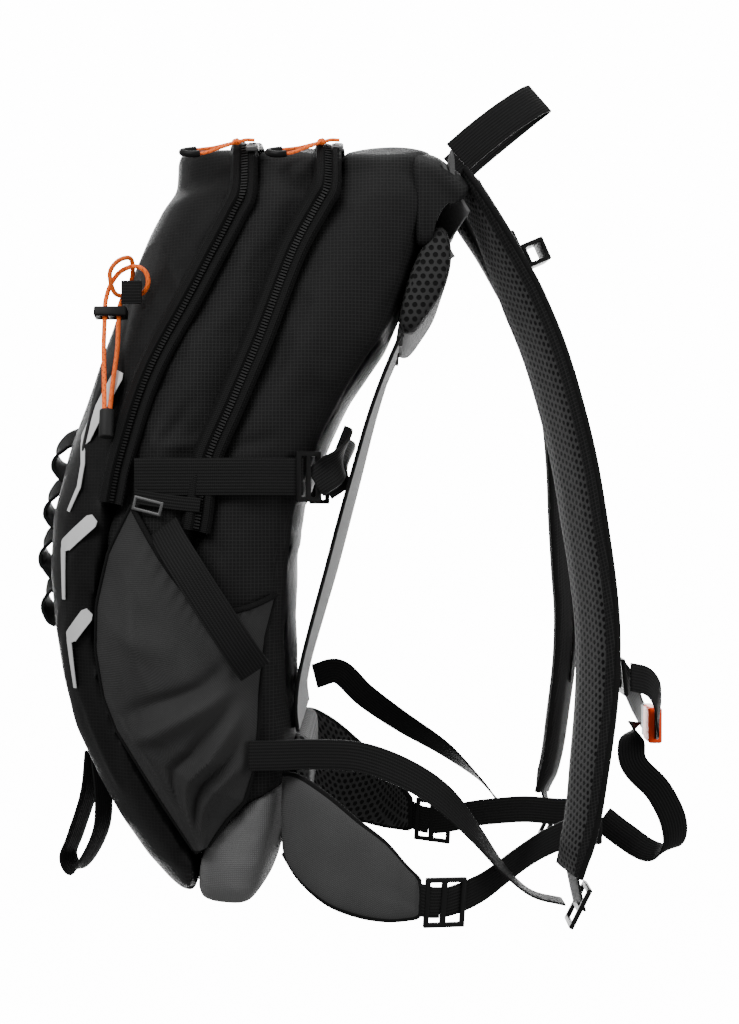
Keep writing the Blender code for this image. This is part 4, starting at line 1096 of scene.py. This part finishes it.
COMPRESSION_HEIGHT = 0.0235
for side, word in SIDES:
    flat = [side_point(side, -0.157 + 0.096 * k / 9, COMPRESSION_HEIGHT, 0.0048) for k in range(10)]
    flat.append(Vector((-0.0500, side * (abs(flat[-1].y) - 0.0050), COMPRESSION_HEIGHT)))
    flat.append(Vector((-0.0440, side * (abs(flat[-1].y) - 0.0010), COMPRESSION_HEIGHT)))
    band(f"compression_webbing_{word}", [(*p, 0, 0, 1) for p in flat], WEBBING_WIDE, "bag",
         f"compression_strap_{word}")
    under = [side_point(side, x, z, 0.0056) for x, z in ((-0.157, 0.0105), (-0.145, 0.0085), (-0.129, 0.0062),
                                                        (-0.112, 0.0045))]
    band(f"compression_underlay_{word}", [(*p, 0.1, 0, 1) for p in under], 0.0095, "bag", rows=24)
    x0, y0 = -0.0440 + 0.0196, side * 0.1190
    z0 = COMPRESSION_HEIGHT
    back_loop = [(x0 - 0.012, y0, z0 - 0.004), (x0 - 0.001, y0 + side * 0.002, z0 + 0.004),
                 (x0 + 0.006, y0 - side * 0.002, z0 + 0.014), (x0 + 0.008, y0 - side * 0.010, z0 + 0.022),
                 (x0 + 0.004, y0 - side * 0.020, z0 + 0.025)]
    band(f"compression_back_loop_{word}", [(*p, 0.35, 0.0, 1.0) for p in back_loop], 0.022, "bag",
         f"compression_anchor_{word}", 30)
    spots = [(-0.137, -0.010), (-0.129, -0.022), (-0.119, -0.036), (-0.107, -0.054),
             (-0.095, -0.072), (-0.084, -0.089), (-0.0745, -0.104)]
    outs = [0.0050, 0.0150, 0.0235, 0.0275, 0.0285, 0.0265, 0.0215]
    slant = [side_point(side, x, z, out + 0.001) for (x, z), out in zip(spots, outs)]
    band(f"diagonal_webbing_{word}", [(*p, 0.55, 0, 0.45) for p in slant], 0.022, "bag",
         f"diagonal_strap_{word}", 40)


GEAR_LOOPS = [(0.042, 0.0145), (0.007, 0.0120), (-0.0285, 0.0110), (-0.0655, 0.0105)]   # z, rise
GEAR_LOOP_REACH = 0.0150      # half of a loop's height
GEAR_LOOP_SKEW = 0.75         # how far a loop's webbing twists out of level


def daisy_points():
    """The outer face's webbing: four humps with bar tacks between them."""
    rows = []
    for centre, rise in GEAR_LOOPS:
        for k in range(8):
            z = centre + GEAR_LOOP_REACH - 2 * GEAR_LOOP_REACH * k / 8
            height = 0.0018 + rise * math.sin(math.pi * k / 8) ** 0.6
            rows.append((front_at(z) - height - 0.0012, 0.0, z, 0, 1, GEAR_LOOP_SKEW))
    last = GEAR_LOOPS[-1][0] - GEAR_LOOP_REACH
    return rows + [(front_at(z) - 0.0030, 0.0, z, 0, 1, GEAR_LOOP_SKEW) for z in (last, last - 0.010)]


band("gear_loop_webbing", daisy_points(), WEBBING_NARROW, "bag", "daisy_chain", 200, 0.0024)
for number, z in enumerate((0.0245, -0.0108, -0.0470, -0.0830)):
    tack = [Vector((front_at(z) - 0.0044, y / 1000, z)) for y in range(-8, 9, 4)]
    back_again = [t + Vector((0, 0, 0.0012)) for t in tack[::-1]]
    stitches(f"gear_loop_tack_{number + 1}", tack + back_again, size=0.0008)
TOOL_LOOP_ROOT = (-0.2065, 0.0, -0.176)
x, y, z = TOOL_LOOP_ROOT
loop = [(0.0022, 0.0), (-0.001, -0.030), (-0.011, -0.062), (-0.0165, -0.078), (-0.0110, -0.088),
        (-0.0010, -0.078), (0.0085, -0.056), (0.0095, -0.030), (0.0062, -0.001)]
band("tool_loop_webbing", [(x + a, y, z + b, 0.55, 0.8, 0.1) for a, b in loop], 0.018, "tool_loop",
     "axe_loop", 70)
HAUL_LOOP_ROOT = (0.0640, 0.0, 0.2575)
x, y, z = HAUL_LOOP_ROOT
loop = [(0.0, -0.024, 0.0), (0.016, -0.023, 0.014), (0.036, -0.019, 0.030), (0.055, -0.010, 0.044),
        (0.062, 0.0, 0.048)]
loop += [(a, -b, c) for a, b, c in loop[-2::-1]]
band("grab_handle_webbing", [(x + a, y + b, z + c, 0.66, 0, -0.75) for a, b, c in loop], WEBBING_WIDE,
     "grab_handle", "haul_loop", 70)
print("bag webbing laid")

# %% [markdown]
# A shoulder strap is foam between two cloths, bound at its edges.  The side towards the wearer is
# spacer mesh, and the outer side and the near edge are ripstop.  Its section is a rounded slab
# swept down the strap's curve; the grid's faces know where they are, so each gets its own cloth.
# %% Shoulder straps
STRAP_LINE = [(0.0662, 0.2335), (0.0770, 0.211), (0.0910, 0.181), (0.1065, 0.146), (0.1200, 0.112),
              (0.1310, 0.075), (0.1405, 0.035), (0.1475, -0.008), (0.1540, -0.053), (0.1565, -0.090),
              (0.1550, -0.131), (0.1500, -0.176), (0.1450, -0.214), (0.1370, -0.246)]
STRAP_OFF_CENTRE = [0.066, 0.068, 0.071, 0.075, 0.079, 0.082, 0.084, 0.086, 0.087, 0.088,
                    0.089, 0.090, 0.090, 0.089]
STRAP_WIDTHS = [0.050, 0.056, 0.060, 0.060, 0.060, 0.060, 0.060, 0.060, 0.058, 0.056, 0.053, 0.048,
                0.042, 0.034]
STRAP_THICK = 0.0128
STRAP_TILT = 0.38
MESH_FROM, MESH_TO = 0.52, 0.84    # the part of the way round the section that is mesh
LEFT_STRAP_LIFT = 0.024
LEFT_STRAP_BOW = 0.007
LEFT_STRAP_DRAPE = 0.011      # it hangs further from the bag near its top
DRAPE_HEIGHT = 0.12
DRAPE_REACH = 0.085


def strap_line(side):
    """Centre line of a shoulder strap; the left one is drawn up a little more."""
    lift = LEFT_STRAP_LIFT if side == LEFT else 0.0
    last = STRAP_LINE[-1][1]
    line = []
    for (x, z), y in zip(STRAP_LINE, STRAP_OFF_CENTRE):
        share = min(max((STRAP_LINE[6][1] - z) / (STRAP_LINE[6][1] - last), 0.0), 1.0)
        bow = LEFT_STRAP_BOW * math.sin(math.pi * min(max((0.2335 - z) / 0.29, 0.0), 1.0))
        drape = LEFT_STRAP_DRAPE * math.exp(-((z - DRAPE_HEIGHT) / DRAPE_REACH) ** 2)
        line.append((x + (bow + drape) * (side == LEFT), side * y, z + lift * share))
    return line


def slab(turn, width, thick, roundness=3.2):
    """A point of a rounded slab section: across, out."""
    c, s = math.cos(2 * math.pi * turn), math.sin(2 * math.pi * turn)
    across = math.copysign(abs(c) ** (2 / roundness), c) * width / 2
    out = math.copysign(abs(s) ** (2 / 2.4), s) * thick / 2
    return across, out


def strap_frame(side, share):
    """Point, width direction and outward direction of a strap at a share of its length."""
    route = STRAP_ROUTES[side]
    sides = [Vector((min(k / 12, 1.0) * STRAP_TILT, side, 0)) for k in range(len(route))]
    spot, across, out = frame_at(route, sides, share)
    if out.x < 0:
        out = -out
    return spot, across, out


STRAP_ROUTES = {side: smooth_route(strap_line(side), 4) for side in (RIGHT, LEFT)}
WIDTH_ROUTE = smooth_route([(w, 0) for w in STRAP_WIDTHS], 4)
for side, word in SIDES:
    def strap_place(i, j):
        spot, across, out = strap_frame(side, i)
        end = min(1.0, 0.55 + 12 * i, 0.45 + 14 * (1 - i))
        a, b = slab(j, at_share(WIDTH_ROUTE, i).x, STRAP_THICK * end)
        channel = 1 - 0.10 * math.exp(-((abs(a) - 0.020) / 0.0018) ** 2)
        return spot + across * a + out * b * channel

    padding = sleeve(f"shoulder_pad_{word}", 120, 40, strap_place,
                     lambda i, j: int(MESH_FROM < j < MESH_TO))
    dress(padding, [strap_cloth, mesh_grey], f"{word}_strap", "shell_fabric", f"shoulder_strap_{word}")
    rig.padded(padding, fill=0.8)
    for label, sign in (("outer", 1), ("inner", -1)):
        edge = []
        for k in range(121):
            spot, across, out = strap_frame(side, k / 120)
            edge.append(spot + across * (sign * (at_share(WIDTH_ROUTE, k / 120).x / 2 - 0.0004)))
        rail = sleeve(f"shoulder_{label}_binding_{word}", 160, 8, tube_place(edge, BINDING_RADIUS))
        dress(rail, binding_tape, f"{word}_strap", "shell_fabric")
    rail_points = []
    for k in range(0, 80, 6):
        spot, across, out = strap_frame(side, 0.02 + k / 100)
        rail_points.append((*(spot + out * (STRAP_THICK / 2 + 0.0012)), *across))
    band(f"shoulder_front_webbing_{word}", rail_points, 0.012, f"{word}_strap", rows=110)
print("shoulder straps padded")


# %% [markdown]
# The pads at the back are foam under open mesh.  Each is one rounded outline, swept across the
# pack and drawn in at its ends, so its edges turn over softly.
# %% Back pads and yoke
def closed_curve(points, per_span=6):
    """A smooth closed outline through XZ points."""
    rows = [Vector((x, z)) for x, z in points]
    wrapped = rows[-2:] + rows + rows[:3]
    curve = smooth_route([tuple(p) + (0.0,) for p in wrapped], per_span)
    return [Vector((p.x, p.y)) for p in curve[2 * per_span:(2 + len(rows)) * per_span + 1]]


def cross_pad(name, outline, half, finish, node_name, slot_name, body="bag", edge=0.14, inset=0.0008):
    curve = closed_curve(outline)
    middle = sum(curve, Vector((0, 0))) / len(curve)

    def place(i, j):
        k = j * (len(curve) - 1)
        first = int(k) % (len(curve) - 1)
        spot = curve[first].lerp(curve[first + 1], k - int(k))
        run = 2 * i - 1
        tuck = max(0.0, (abs(run) - (1 - edge)) / edge)
        scale = 1 - 0.30 * (1 - math.sqrt(max(0.0, 1 - tuck * tuck)))
        spot = middle + (spot - middle) * scale * (1 - inset / 0.02)
        return Vector((spot.x, run * half, spot.y))

    pad = sleeve(name, 70, len(outline) * 6, place)
    pad.data.uv_layers.remove(pad.data.uv_layers[0])
    box_uv(pad)
    dress(pad, finish, body, slot_name, node_name)
    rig.padded(pad, fill=0.8)
    return pad


cross_pad("shoulder_blade_pad", [(0.0420, 0.1930), (0.0490, 0.1975), (0.0550, 0.1900), (0.0570, 0.1740),
                                 (0.0520, 0.1530), (0.0400, 0.1330), (0.0300, 0.1210), (0.0215, 0.1225),
                                 (0.0200, 0.1340), (0.0260, 0.1600), (0.0345, 0.1800)],
          0.0995, mesh_dark, "upper_back_pad", "mesh_fabric")
cross_pad("lumbar_cushion", [(-0.0530, -0.1545), (-0.0430, -0.1550), (-0.0400, -0.1700), (-0.0420, -0.2050),
                             (-0.0500, -0.2330), (-0.0590, -0.2400), (-0.0560, -0.2000), (-0.0500, -0.1750)],
          0.0875, mesh_grey, "lumbar_pad", "mesh_fabric")
cross_pad("yoke_patch", [(0.0545, 0.213), (0.0570, 0.213), (0.0585, 0.232), (0.0575, 0.2455),
                         (0.0545, 0.2455)], 0.0955, lining_cloth, "strap_yoke", "shell_fabric", edge=0.04)
yoke_flap = cross_pad("yoke_flap", [(0.0290, 0.2590), (0.0440, 0.2590), (0.0570, 0.2510), (0.0690, 0.2400),
                        (0.0640, 0.2300), (0.0540, 0.2280), (0.0460, 0.2150), (0.0410, 0.1990),
                        (0.0310, 0.1990), (0.0280, 0.2300)],
          0.1020, shell_cloth, None, "shell_fabric", edge=0.16)
for vert in yoke_flap.data.vertices:      # it follows the lid's arch
    vert.co.z -= ARCH_RADIUS - math.sqrt(ARCH_RADIUS ** 2 - vert.co.y ** 2)
for side, word in SIDES:
    root = [(0.0420, side * 0.072, 0.2350, 0.38, side, 0), (0.0470, side * 0.072, 0.2240, 0.38, side, 0),
            (0.0570, side * 0.073, 0.2060, 0.38, side, 0), (0.0620, side * 0.074, 0.1975, 0.38, side, 0)]
    band(f"strap_root_patch_{word}", root, 0.052, f"{word}_strap", rows=30, thick=0.0024, finish=lining_cloth)
    tab = [(0.0262, side * 0.070, 0.1300), (0.0222, side * 0.070, 0.1215), (0.0215, side * 0.070, 0.1150)]
    band(f"pad_tab_{word}", [(*p, 0, 1, 0) for p in tab], 0.014, "bag", rows=16, thick=0.0022,
         finish=lining_cloth)

# %% [markdown]
# The back sheet is drawn tight between the pads, so air can pass behind it.  It is a twill bound
# with black tape down both edges.
# %% Back sheet
SHEET_LINE = smooth_route([(0.0205, 0.0, 0.1195), (0.010, 0.0, 0.095), (-0.0005, 0.0, 0.066),
                           (-0.0115, 0.0, 0.028), (-0.0210, 0.0, -0.006), (-0.0305, 0.0, -0.042),
                           (-0.040, 0.0, -0.077), (-0.0480, 0.0, -0.110), (-0.0505, 0.0, -0.1340),
                           (-0.0490, 0.0, -0.1500)], 6)
SHEET_HALF = 0.0915
SHEET_BOW = 0.0065            # of its middle towards the wearer


def sheet_place(i, j):
    spot = at_share(SHEET_LINE, i)
    run = 2 * j - 1
    bow = SHEET_BOW * math.sin(math.pi * i) * (1 - run * run)
    return Vector((spot.x + bow, run * SHEET_HALF, spot.z))


sheet = sheet_piece("tension_sheet", 80, 40, sheet_place, 0.0018)
dress(sheet, sheet_cloth, "bag", "mesh_fabric", "back_sheet")
sheet_edges = []
for side, word in SIDES:
    edge = [Vector((p.x, side * SHEET_HALF, p.z)) for p in SHEET_LINE]
    rail = sleeve(f"sheet_binding_{word}", 90, 10, tube_place(edge, 0.0014))
    sheet_edges.append(dress(rail, binding_tape, "bag", "black_webbing"))
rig.sheet(sheet, flat=(0.188, 0.285), held="stretched", rests_on=["shoulder_blade_pad", "lumbar_cushion"],
         with_pieces=sheet_edges)
print("back dressed")

# %% [markdown]
# A belt wing is a padded fin: pack cloth outside, mesh against the hip, tape round its edge.
# %% Hip belt
WING_STATIONS = [(-0.0575, 0.1080, -0.230, -0.176, 0.0100), (-0.0460, 0.1190, -0.245, -0.177, 0.0125),
                 (-0.0280, 0.1260, -0.259, -0.188, 0.0125), (-0.0080, 0.1260, -0.267, -0.205, 0.0120),
                 (0.0100, 0.1220, -0.271, -0.220, 0.0115), (0.0230, 0.1160, -0.272, -0.236, 0.0100),
                 (0.0330, 0.1100, -0.272, -0.247, 0.0080)]
WING_PLAN = smooth_route([(x, y, thick) for x, y, low, high, thick in WING_STATIONS], 6)
WING_RISE = smooth_route([(low, high, 0) for x, y, low, high, thick in WING_STATIONS], 6)
WING_LIFT = {RIGHT: 0.0, LEFT: 0.016}
BELT_STRAP = [
    # x, y, z, share of the wing's lift, lean of the webbing's width
    (0.0470, 0.1045, -0.2645, 1.0, 0.06), (0.0560, 0.1005, -0.2635, 1.0, 0.06),
    (0.0690, 0.0940, -0.2600, 1.0, 0.06), (0.0820, 0.0850, -0.2550, 1.0, 0.15),
    (0.1010, 0.0690, -0.2450, 0.7, 0.20), (0.1210, 0.0530, -0.2360, 0.4, 0.20),
    (0.1430, 0.0400, -0.2290, 0.0, 0.10),
]
BELT_STRAP_END = {RIGHT: 0.0245, LEFT: 0.0145}   # the socket reaches further than the plug


def wing_frame(side, i):
    plan, rise = at_share(WING_PLAN, i), at_share(WING_RISE, i)
    ahead = at_share(WING_PLAN, i + 0.02) - at_share(WING_PLAN, i - 0.02)
    out = Vector((-ahead.y, ahead.x, 0)).normalized()
    return plan, rise.x + WING_LIFT[side], rise.y + WING_LIFT[side], Vector((out.x, side * out.y, 0))


for side, word in SIDES:
    def wing_place(i, j):
        plan, low, high, out = wing_frame(side, i)
        up, off = slab(j, high - low, plan.z * min(1.0, 0.5 + 8 * i, 0.4 + 8 * (1 - i)), 2.8)
        quilt = 1 - 0.16 * math.exp(-((up + 0.006) / 0.0022) ** 2) if off > 0 else 1.0
        return Vector((plan.x, side * plan.y, (low + high) / 2 + up)) + out * (off * quilt)

    wing = sleeve(f"belt_wing_{word}", 60, 40, wing_place, lambda i, j: 0 if j < 0.5 else 1)
    dress(wing, [wing_cloth, mesh_dark], "belt", "grey_fabric", f"hip_wing_{word}")
    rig.padded(wing, fill=0.8)
    rim = []
    for k in range(41):
        plan, low, high, out = wing_frame(side, k / 40)
        rim.append(Vector((plan.x, side * plan.y, high - 0.0003)))
    for k in range(40, -1, -1):
        plan, low, high, out = wing_frame(side, k / 40)
        rim.append(Vector((plan.x, side * plan.y, low + 0.0003)))
    rail = sleeve(f"belt_binding_{word}", 170, 8, tube_place(rim, BINDING_RADIUS))
    dress(rail, binding_tape, "belt", "black_webbing")
    lift = WING_LIFT[side]
    tongue = [(0.0240, side * 0.1160, -0.2570 + lift), (0.0330, side * 0.1112, -0.2600 + lift),
              (0.0405, side * 0.1075, -0.2630 + lift), (0.0480, side * 0.1040, -0.2640 + lift)]
    band(f"belt_tongue_{word}", [(*p, 0.06, 0, 1) for p in tongue], 0.021, "belt", rows=16)
    strap = [(x, side * y, z + lift * share, lean, 0, 1) for x, y, z, share, lean in BELT_STRAP]
    strap.append((0.1630, side * BELT_STRAP_END[side], -0.2250, 0, 0, 1))
    made = band(f"belt_webbing_{word}", strap, WEBBING_NARROW, "belt" if side == RIGHT else None,
                f"hip_webbing_{word}", 60)
    if side == LEFT:
        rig.blend(made, "belt", "belt_plug", start=strap[2][:3], end=strap[-1][:3])
print("belt dressed")

# %% [markdown]
# The lower shoulder webbing runs from the bag to the strap's end.  It bends when the strap swings,
# so it is blended between the two bodies.  The chest strap follows its own sliders.
# %% Harness webbing
LOWER_WEBBING = {
    "right": [(-0.0800, -0.1300, -0.1610, 0, 0, 1), (-0.0580, -0.1283, -0.1608, 0, 0, 1),
              (-0.0350, -0.1235, -0.1610, 0, 0, 1), (-0.0050, -0.1175, -0.1640, 0.05, 0.1, 1),
              (0.0250, -0.1120, -0.1760, 0.25, 0.3, 0.9), (0.0500, -0.1070, -0.1930, 0.45, 0.6, 0.7),
              (0.0720, -0.1010, -0.2180, 0.30, 0.9, 0.35), (0.0920, -0.0945, -0.2440, 0.1, 1, 0.1),
              (0.1110, -0.0900, -0.2610, 0, 1, 0), (0.1330, -0.0890, -0.2670, 0, 1, 0)],
    "left": [(-0.0450, 0.1230, -0.1340, 0.2, 0, 1), (-0.0250, 0.1215, -0.1300, 0, 0, 1),
             (-0.0040, 0.1190, -0.1490, 0.5, -0.2, 0.8), (0.0250, 0.1130, -0.1690, 0.5, -0.5, 0.7),
             (0.0600, 0.1030, -0.1900, 0.35, -0.8, 0.5), (0.0880, 0.0950, -0.2130, 0.1, -1, 0.1),
             (0.1080, 0.0900, -0.2350, 0, -1, 0), (0.1320, 0.0890, -0.2430, 0, -1, 0)],
}
for side, word in SIDES:
    tongue = [(0.1370, -0.2380), (0.1395, -0.2500), (0.1420, -0.2620), (0.1445, -0.2720)]
    lift = LEFT_STRAP_LIFT if side == LEFT else 0.0
    band(f"strap_tongue_{word}", [(x, side * 0.089, z + lift, 0.25, side, 0) for x, z in tongue],
         WEBBING_NARROW, f"{word}_strap", rows=24)
for word, points in LOWER_WEBBING.items():
    made = band(f"lower_webbing_{word}", points, WEBBING_NARROW, None, f"strap_webbing_{word}", 90)
    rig.blend(made, "bag", f"{word}_strap", start=points[2][:3], end=points[-1][:3])
CHEST_BUCKLE = (0.2075, 0.0, -0.155)
x, y, z = CHEST_BUCKLE
CHEST_RIGHT = [(0.1790, -0.0890, -0.1130, 0, 0.3, 1), (0.1920, -0.0800, -0.1170, 0, 0.2, 1),
               (0.2010, -0.0650, -0.1270, 0.1, 0.1, 1), (0.2050, -0.0500, -0.1420, 0.1, 0, 1),
               (x - 0.0008, -0.0380, z + 0.0030, 0.02, 0, 1), (x, -0.0215, z, 0, 0, 1)]
CHEST_LEFT = [(0.1795, 0.0890, -0.1130, 0, 0.3, 1), (0.1920, 0.0800, -0.1190, 0, -0.2, 1),
              (0.2010, 0.0650, -0.1320, 0.1, -0.1, 1), (0.2050, 0.0480, -0.1450, 0.1, 0, 1),
              (x - 0.0008, 0.0300, z + 0.0020, 0.02, 0, 1), (x, 0.0125, z, 0, 0, 1)]
CHEST_TAIL = [(x + a, b, z + c, *lean) for a, b, c, *lean in (
    (-0.0140, -0.0170, 0.002, 0.02, 0, 1.0), (-0.0160, -0.0200, -0.026, 0.6, 0, 0.8),
    (0.0030, -0.0190, -0.048, 0.87, 0, 0.5), (0.0150, -0.0140, -0.072, 0.95, 0.1, 0.3),
    (0.0160, -0.0020, -0.092, 0.8, 0.6, 0), (0.0020, 0.0100, -0.098, 0.4, 0.6, 0.6),
    (-0.0160, 0.0190, -0.088, 0.35, 0.2, 0.9), (-0.0320, 0.0235, -0.076, 0.35, 0.1, 0.9))]
band("chest_webbing_right", CHEST_RIGHT, WEBBING_NARROW, "chest_right", "sternum_webbing_right", 50)
left_band = band("chest_webbing_left", CHEST_LEFT, WEBBING_NARROW, None, "sternum_webbing_left", 50)
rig.blend(left_band, "chest_left", "chest_plug", start=CHEST_LEFT[1][:3], end=CHEST_LEFT[-1][:3])
band("chest_tail", CHEST_TAIL, WEBBING_NARROW, "chest_right", "sternum_tail", 80)
print("harness webbing laid")

# %% [markdown]
# The moulded and metal fittings keep the CAD's shape.  A real moulding never has a sharp edge, so
# each one is welded, its flat faces are joined up again and every edge gets a small radius.
# %% Fittings
FITTINGS = [
    # node, body, finish, slot, edge radius
    *[(f"{part}_{word}", body.format(word), acetal_black, "black_plastic", 0.0008)
      for word in ("right", "left")
      for part, body in (("strap_ladder_lock", "{}_strap_lock"), ("hip_ladder_lock", "{}_belt_lock"),
                         ("sternum_slider", "chest_{}"), ("compression_buckle", "side_buckle_{}"))],
    ("hip_buckle_socket", "belt", acetal_black, "black_plastic", 0.0009),
    ("hip_buckle_plug", "belt_plug", acetal_black, "black_plastic", 0.0006),
    ("sternum_buckle_socket", "chest_right", acetal_orange, "orange_plastic", 0.0009),
    ("sternum_buckle_plug", "chest_plug", acetal_black, "black_plastic", 0.0006),
    ("hose_clip_base", "right_strap", acetal_black, "black_plastic", 0.0012),
    ("hose_clip", "tube_clip", acetal_black, "black_plastic", 0.0009),
    ("bungee_toggle", "toggle", acetal_black, "black_plastic", 0.0012),
    ("tension_ring_right", "bag", bent_wire, "wire_steel", 0.0007),
    ("tension_ring_left", "bag", bent_wire, "wire_steel", 0.0007),
    ("main_zip_slider", "main_slider", die_cast, "zip_metal", 0.0009),
    ("front_zip_slider", "front_slider", die_cast, "zip_metal", 0.0009),
    ("bungee_cord_end", "bag", soft_rubber, "dark_rubber", 0.0010),
    ("bungee_tab", "bag", webbing_black, "black_webbing", 0.0004),
]
fittings = {}
for node_name, body, finish, slot_name, radius in FITTINGS:
    made = node_copy(node_name + "_part", node_name)
    bm = bmesh.new()
    bm.from_mesh(made.data)
    bmesh.ops.dissolve_limit(bm, angle_limit=math.radians(2), verts=bm.verts, edges=bm.edges)
    sharp = [edge for edge in bm.edges if edge.calc_face_angle(0.0) > math.radians(25)]
    bmesh.ops.bevel(bm, geom=sharp, offset=radius, offset_type="OFFSET", affect="EDGES", segments=3,
                    profile=0.5, material=-1, clamp_overlap=True)
    bm.to_mesh(made.data)
    bm.free()
    box_uv(made)
    fittings[node_name] = smooth_shade(dress(made, finish, body, slot_name), 35)
stay = frame["nodes"]["frame_stay"]
stay.data.materials.clear()
stay.data.materials.append(mill_aluminium)
print("fittings rounded:", len(fittings))

# %% [markdown]
# The cord lock's elastic is one length of 3.2 mm shock cord.  Both its ends go into the rubber
# end; from there it runs up through the lock, makes one arc over the tab, and a second arc back
# through it.  The zip pulls are thinner cord, doubled and knotted, in a moulded horseshoe grip.
# %% Cords
CORD_DIAMETER = 0.0032
BUNGEE_ROUTE = [(-0.1795, -0.1025, 0.0697), (-0.1806, -0.0965, 0.0902), (-0.1820, -0.0898, 0.1117),
                (-0.1821, -0.0840, 0.1370), (-0.1819, -0.0820, 0.1458), (-0.1785, -0.0825, 0.1565),
                (-0.1715, -0.0835, 0.1655), (-0.1615, -0.0840, 0.1692), (-0.1540, -0.0845, 0.1650),
                (-0.1525, -0.0840, 0.1565), (-0.1575, -0.0805, 0.1505), (-0.1660, -0.0810, 0.1490),
                (-0.1745, -0.0830, 0.1500), (-0.1775, -0.0870, 0.1570), (-0.1775, -0.0890, 0.1655),
                (-0.1715, -0.0895, 0.1725), (-0.1640, -0.0860, 0.1740), (-0.1640, -0.0780, 0.1640),
                (-0.1680, -0.0755, 0.1540), (-0.1715, -0.0800, 0.1458), (-0.1725, -0.0840, 0.1370),
                (-0.1726, -0.0898, 0.1117), (-0.1744, -0.0965, 0.0902), (-0.1757, -0.1025, 0.0697)]


def cord_piece(name, points, diameter, body, node_name, per_span=6):
    path = smooth_route(points, per_span)
    made = sleeve(name, (len(path) - 1) * 2, 12, tube_place(path, diameter / 2))
    return dress(made, cord_braid, body, "orange_cord", node_name), path


def path_length(path):
    return sum((b - a).length for a, b in zip(path, path[1:]))


elastic, elastic_path = cord_piece("shock_cord", BUNGEE_ROUTE, CORD_DIAMETER, "bag", "tool_bungee")
elastic_length = path_length(elastic_path)
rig.cord(elastic, exit=BUNGEE_ROUTE[0], length=round(elastic_length, 3), diameter=CORD_DIAMETER,
        far_end="fitting", stiffness="limp", lay="loose", path=elastic_path,
        with_pieces=[fittings["bungee_cord_end"]])
SLIDER_ANGLE = 20.3          # degrees down from the top of the lid
SLIDER_X = {"front": -0.080, "main": -0.022}
PULL_DIAMETER = 0.0024
PULL_SPOTS = [(0.0016, 0.0000, 0.0085), (-0.0040, 0.0005, 0.0088), (-0.0090, 0.0030, 0.0080),
              (-0.0170, 0.0040, 0.0062), (-0.0260, 0.0060, 0.0044), (-0.0350, 0.0090, 0.0038),
              (-0.0425, 0.0125, 0.0036), (-0.0462, 0.0172, 0.0036), (-0.0440, 0.0222, 0.0036),
              (-0.0380, 0.0240, 0.0036), (-0.0300, 0.0210, 0.0040), (-0.0220, 0.0150, 0.0056),
              (-0.0140, 0.0085, 0.0074), (-0.0095, 0.0048, 0.0098)]


def by_slider(x, spot):
    """A place given from a slider: along X, outwards down the lid, and above its skin."""
    turn = math.radians(SLIDER_ANGLE) + spot[1] / ARCH_RADIUS
    radius = ARCH_RADIUS + spot[2]
    return Vector((x + spot[0], -radius * math.sin(turn), BAG_TOP - ARCH_RADIUS + radius * math.cos(turn)))


for word, x in SLIDER_X.items():
    points = [by_slider(x, spot) for spot in PULL_SPOTS]
    pull, pull_path = cord_piece(f"{word}_pull_loop", points, PULL_DIAMETER, f"{word}_pull",
                                 f"{word}_pull_cord", 5)
    grip_path = smooth_route(points[5:11], 6)[2:-3]
    grip = sleeve(f"{word}_pull_horseshoe", 40, 14, tube_place(grip_path, 0.0023))
    dress(grip, acetal_black, f"{word}_pull", "black_plastic", f"{word}_pull_grip")
    bm = bmesh.new()
    bmesh.ops.create_uvsphere(bm, u_segments=16, v_segments=10, radius=0.0026)
    bmesh.ops.scale(bm, verts=bm.verts, vec=(1.25, 1.0, 0.85))
    bmesh.ops.translate(bm, verts=bm.verts, vec=by_slider(x, (-0.0105, 0.0045, 0.0082)))
    knot = dress(smooth_shade(new_object(f"{word}_pull_knot", bm)), cord_braid, f"{word}_pull", "orange_cord")
    box_uv(knot)
    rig.cord(pull, exit=tuple(points[0]), length=round(path_length(pull_path), 3), diameter=PULL_DIAMETER,
            far_end="fitting", stiffness="stiff", lay="loose", path=pull_path, with_pieces=[grip, knot])
print("cords laid, shock cord", round(elastic_length, 3), "m")


# %% [markdown]
# Last come the two boxes: the CAD's and the finished pack's, written out together.
# %% Sizes and finish
with open("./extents.json", "w") as report:
    boxes = {"cad": cad_box, "visual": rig.bounds()}
    json.dump({key: [list(map(float, corner)) for corner in box] for key, box in boxes.items()}, report)
print("size written")
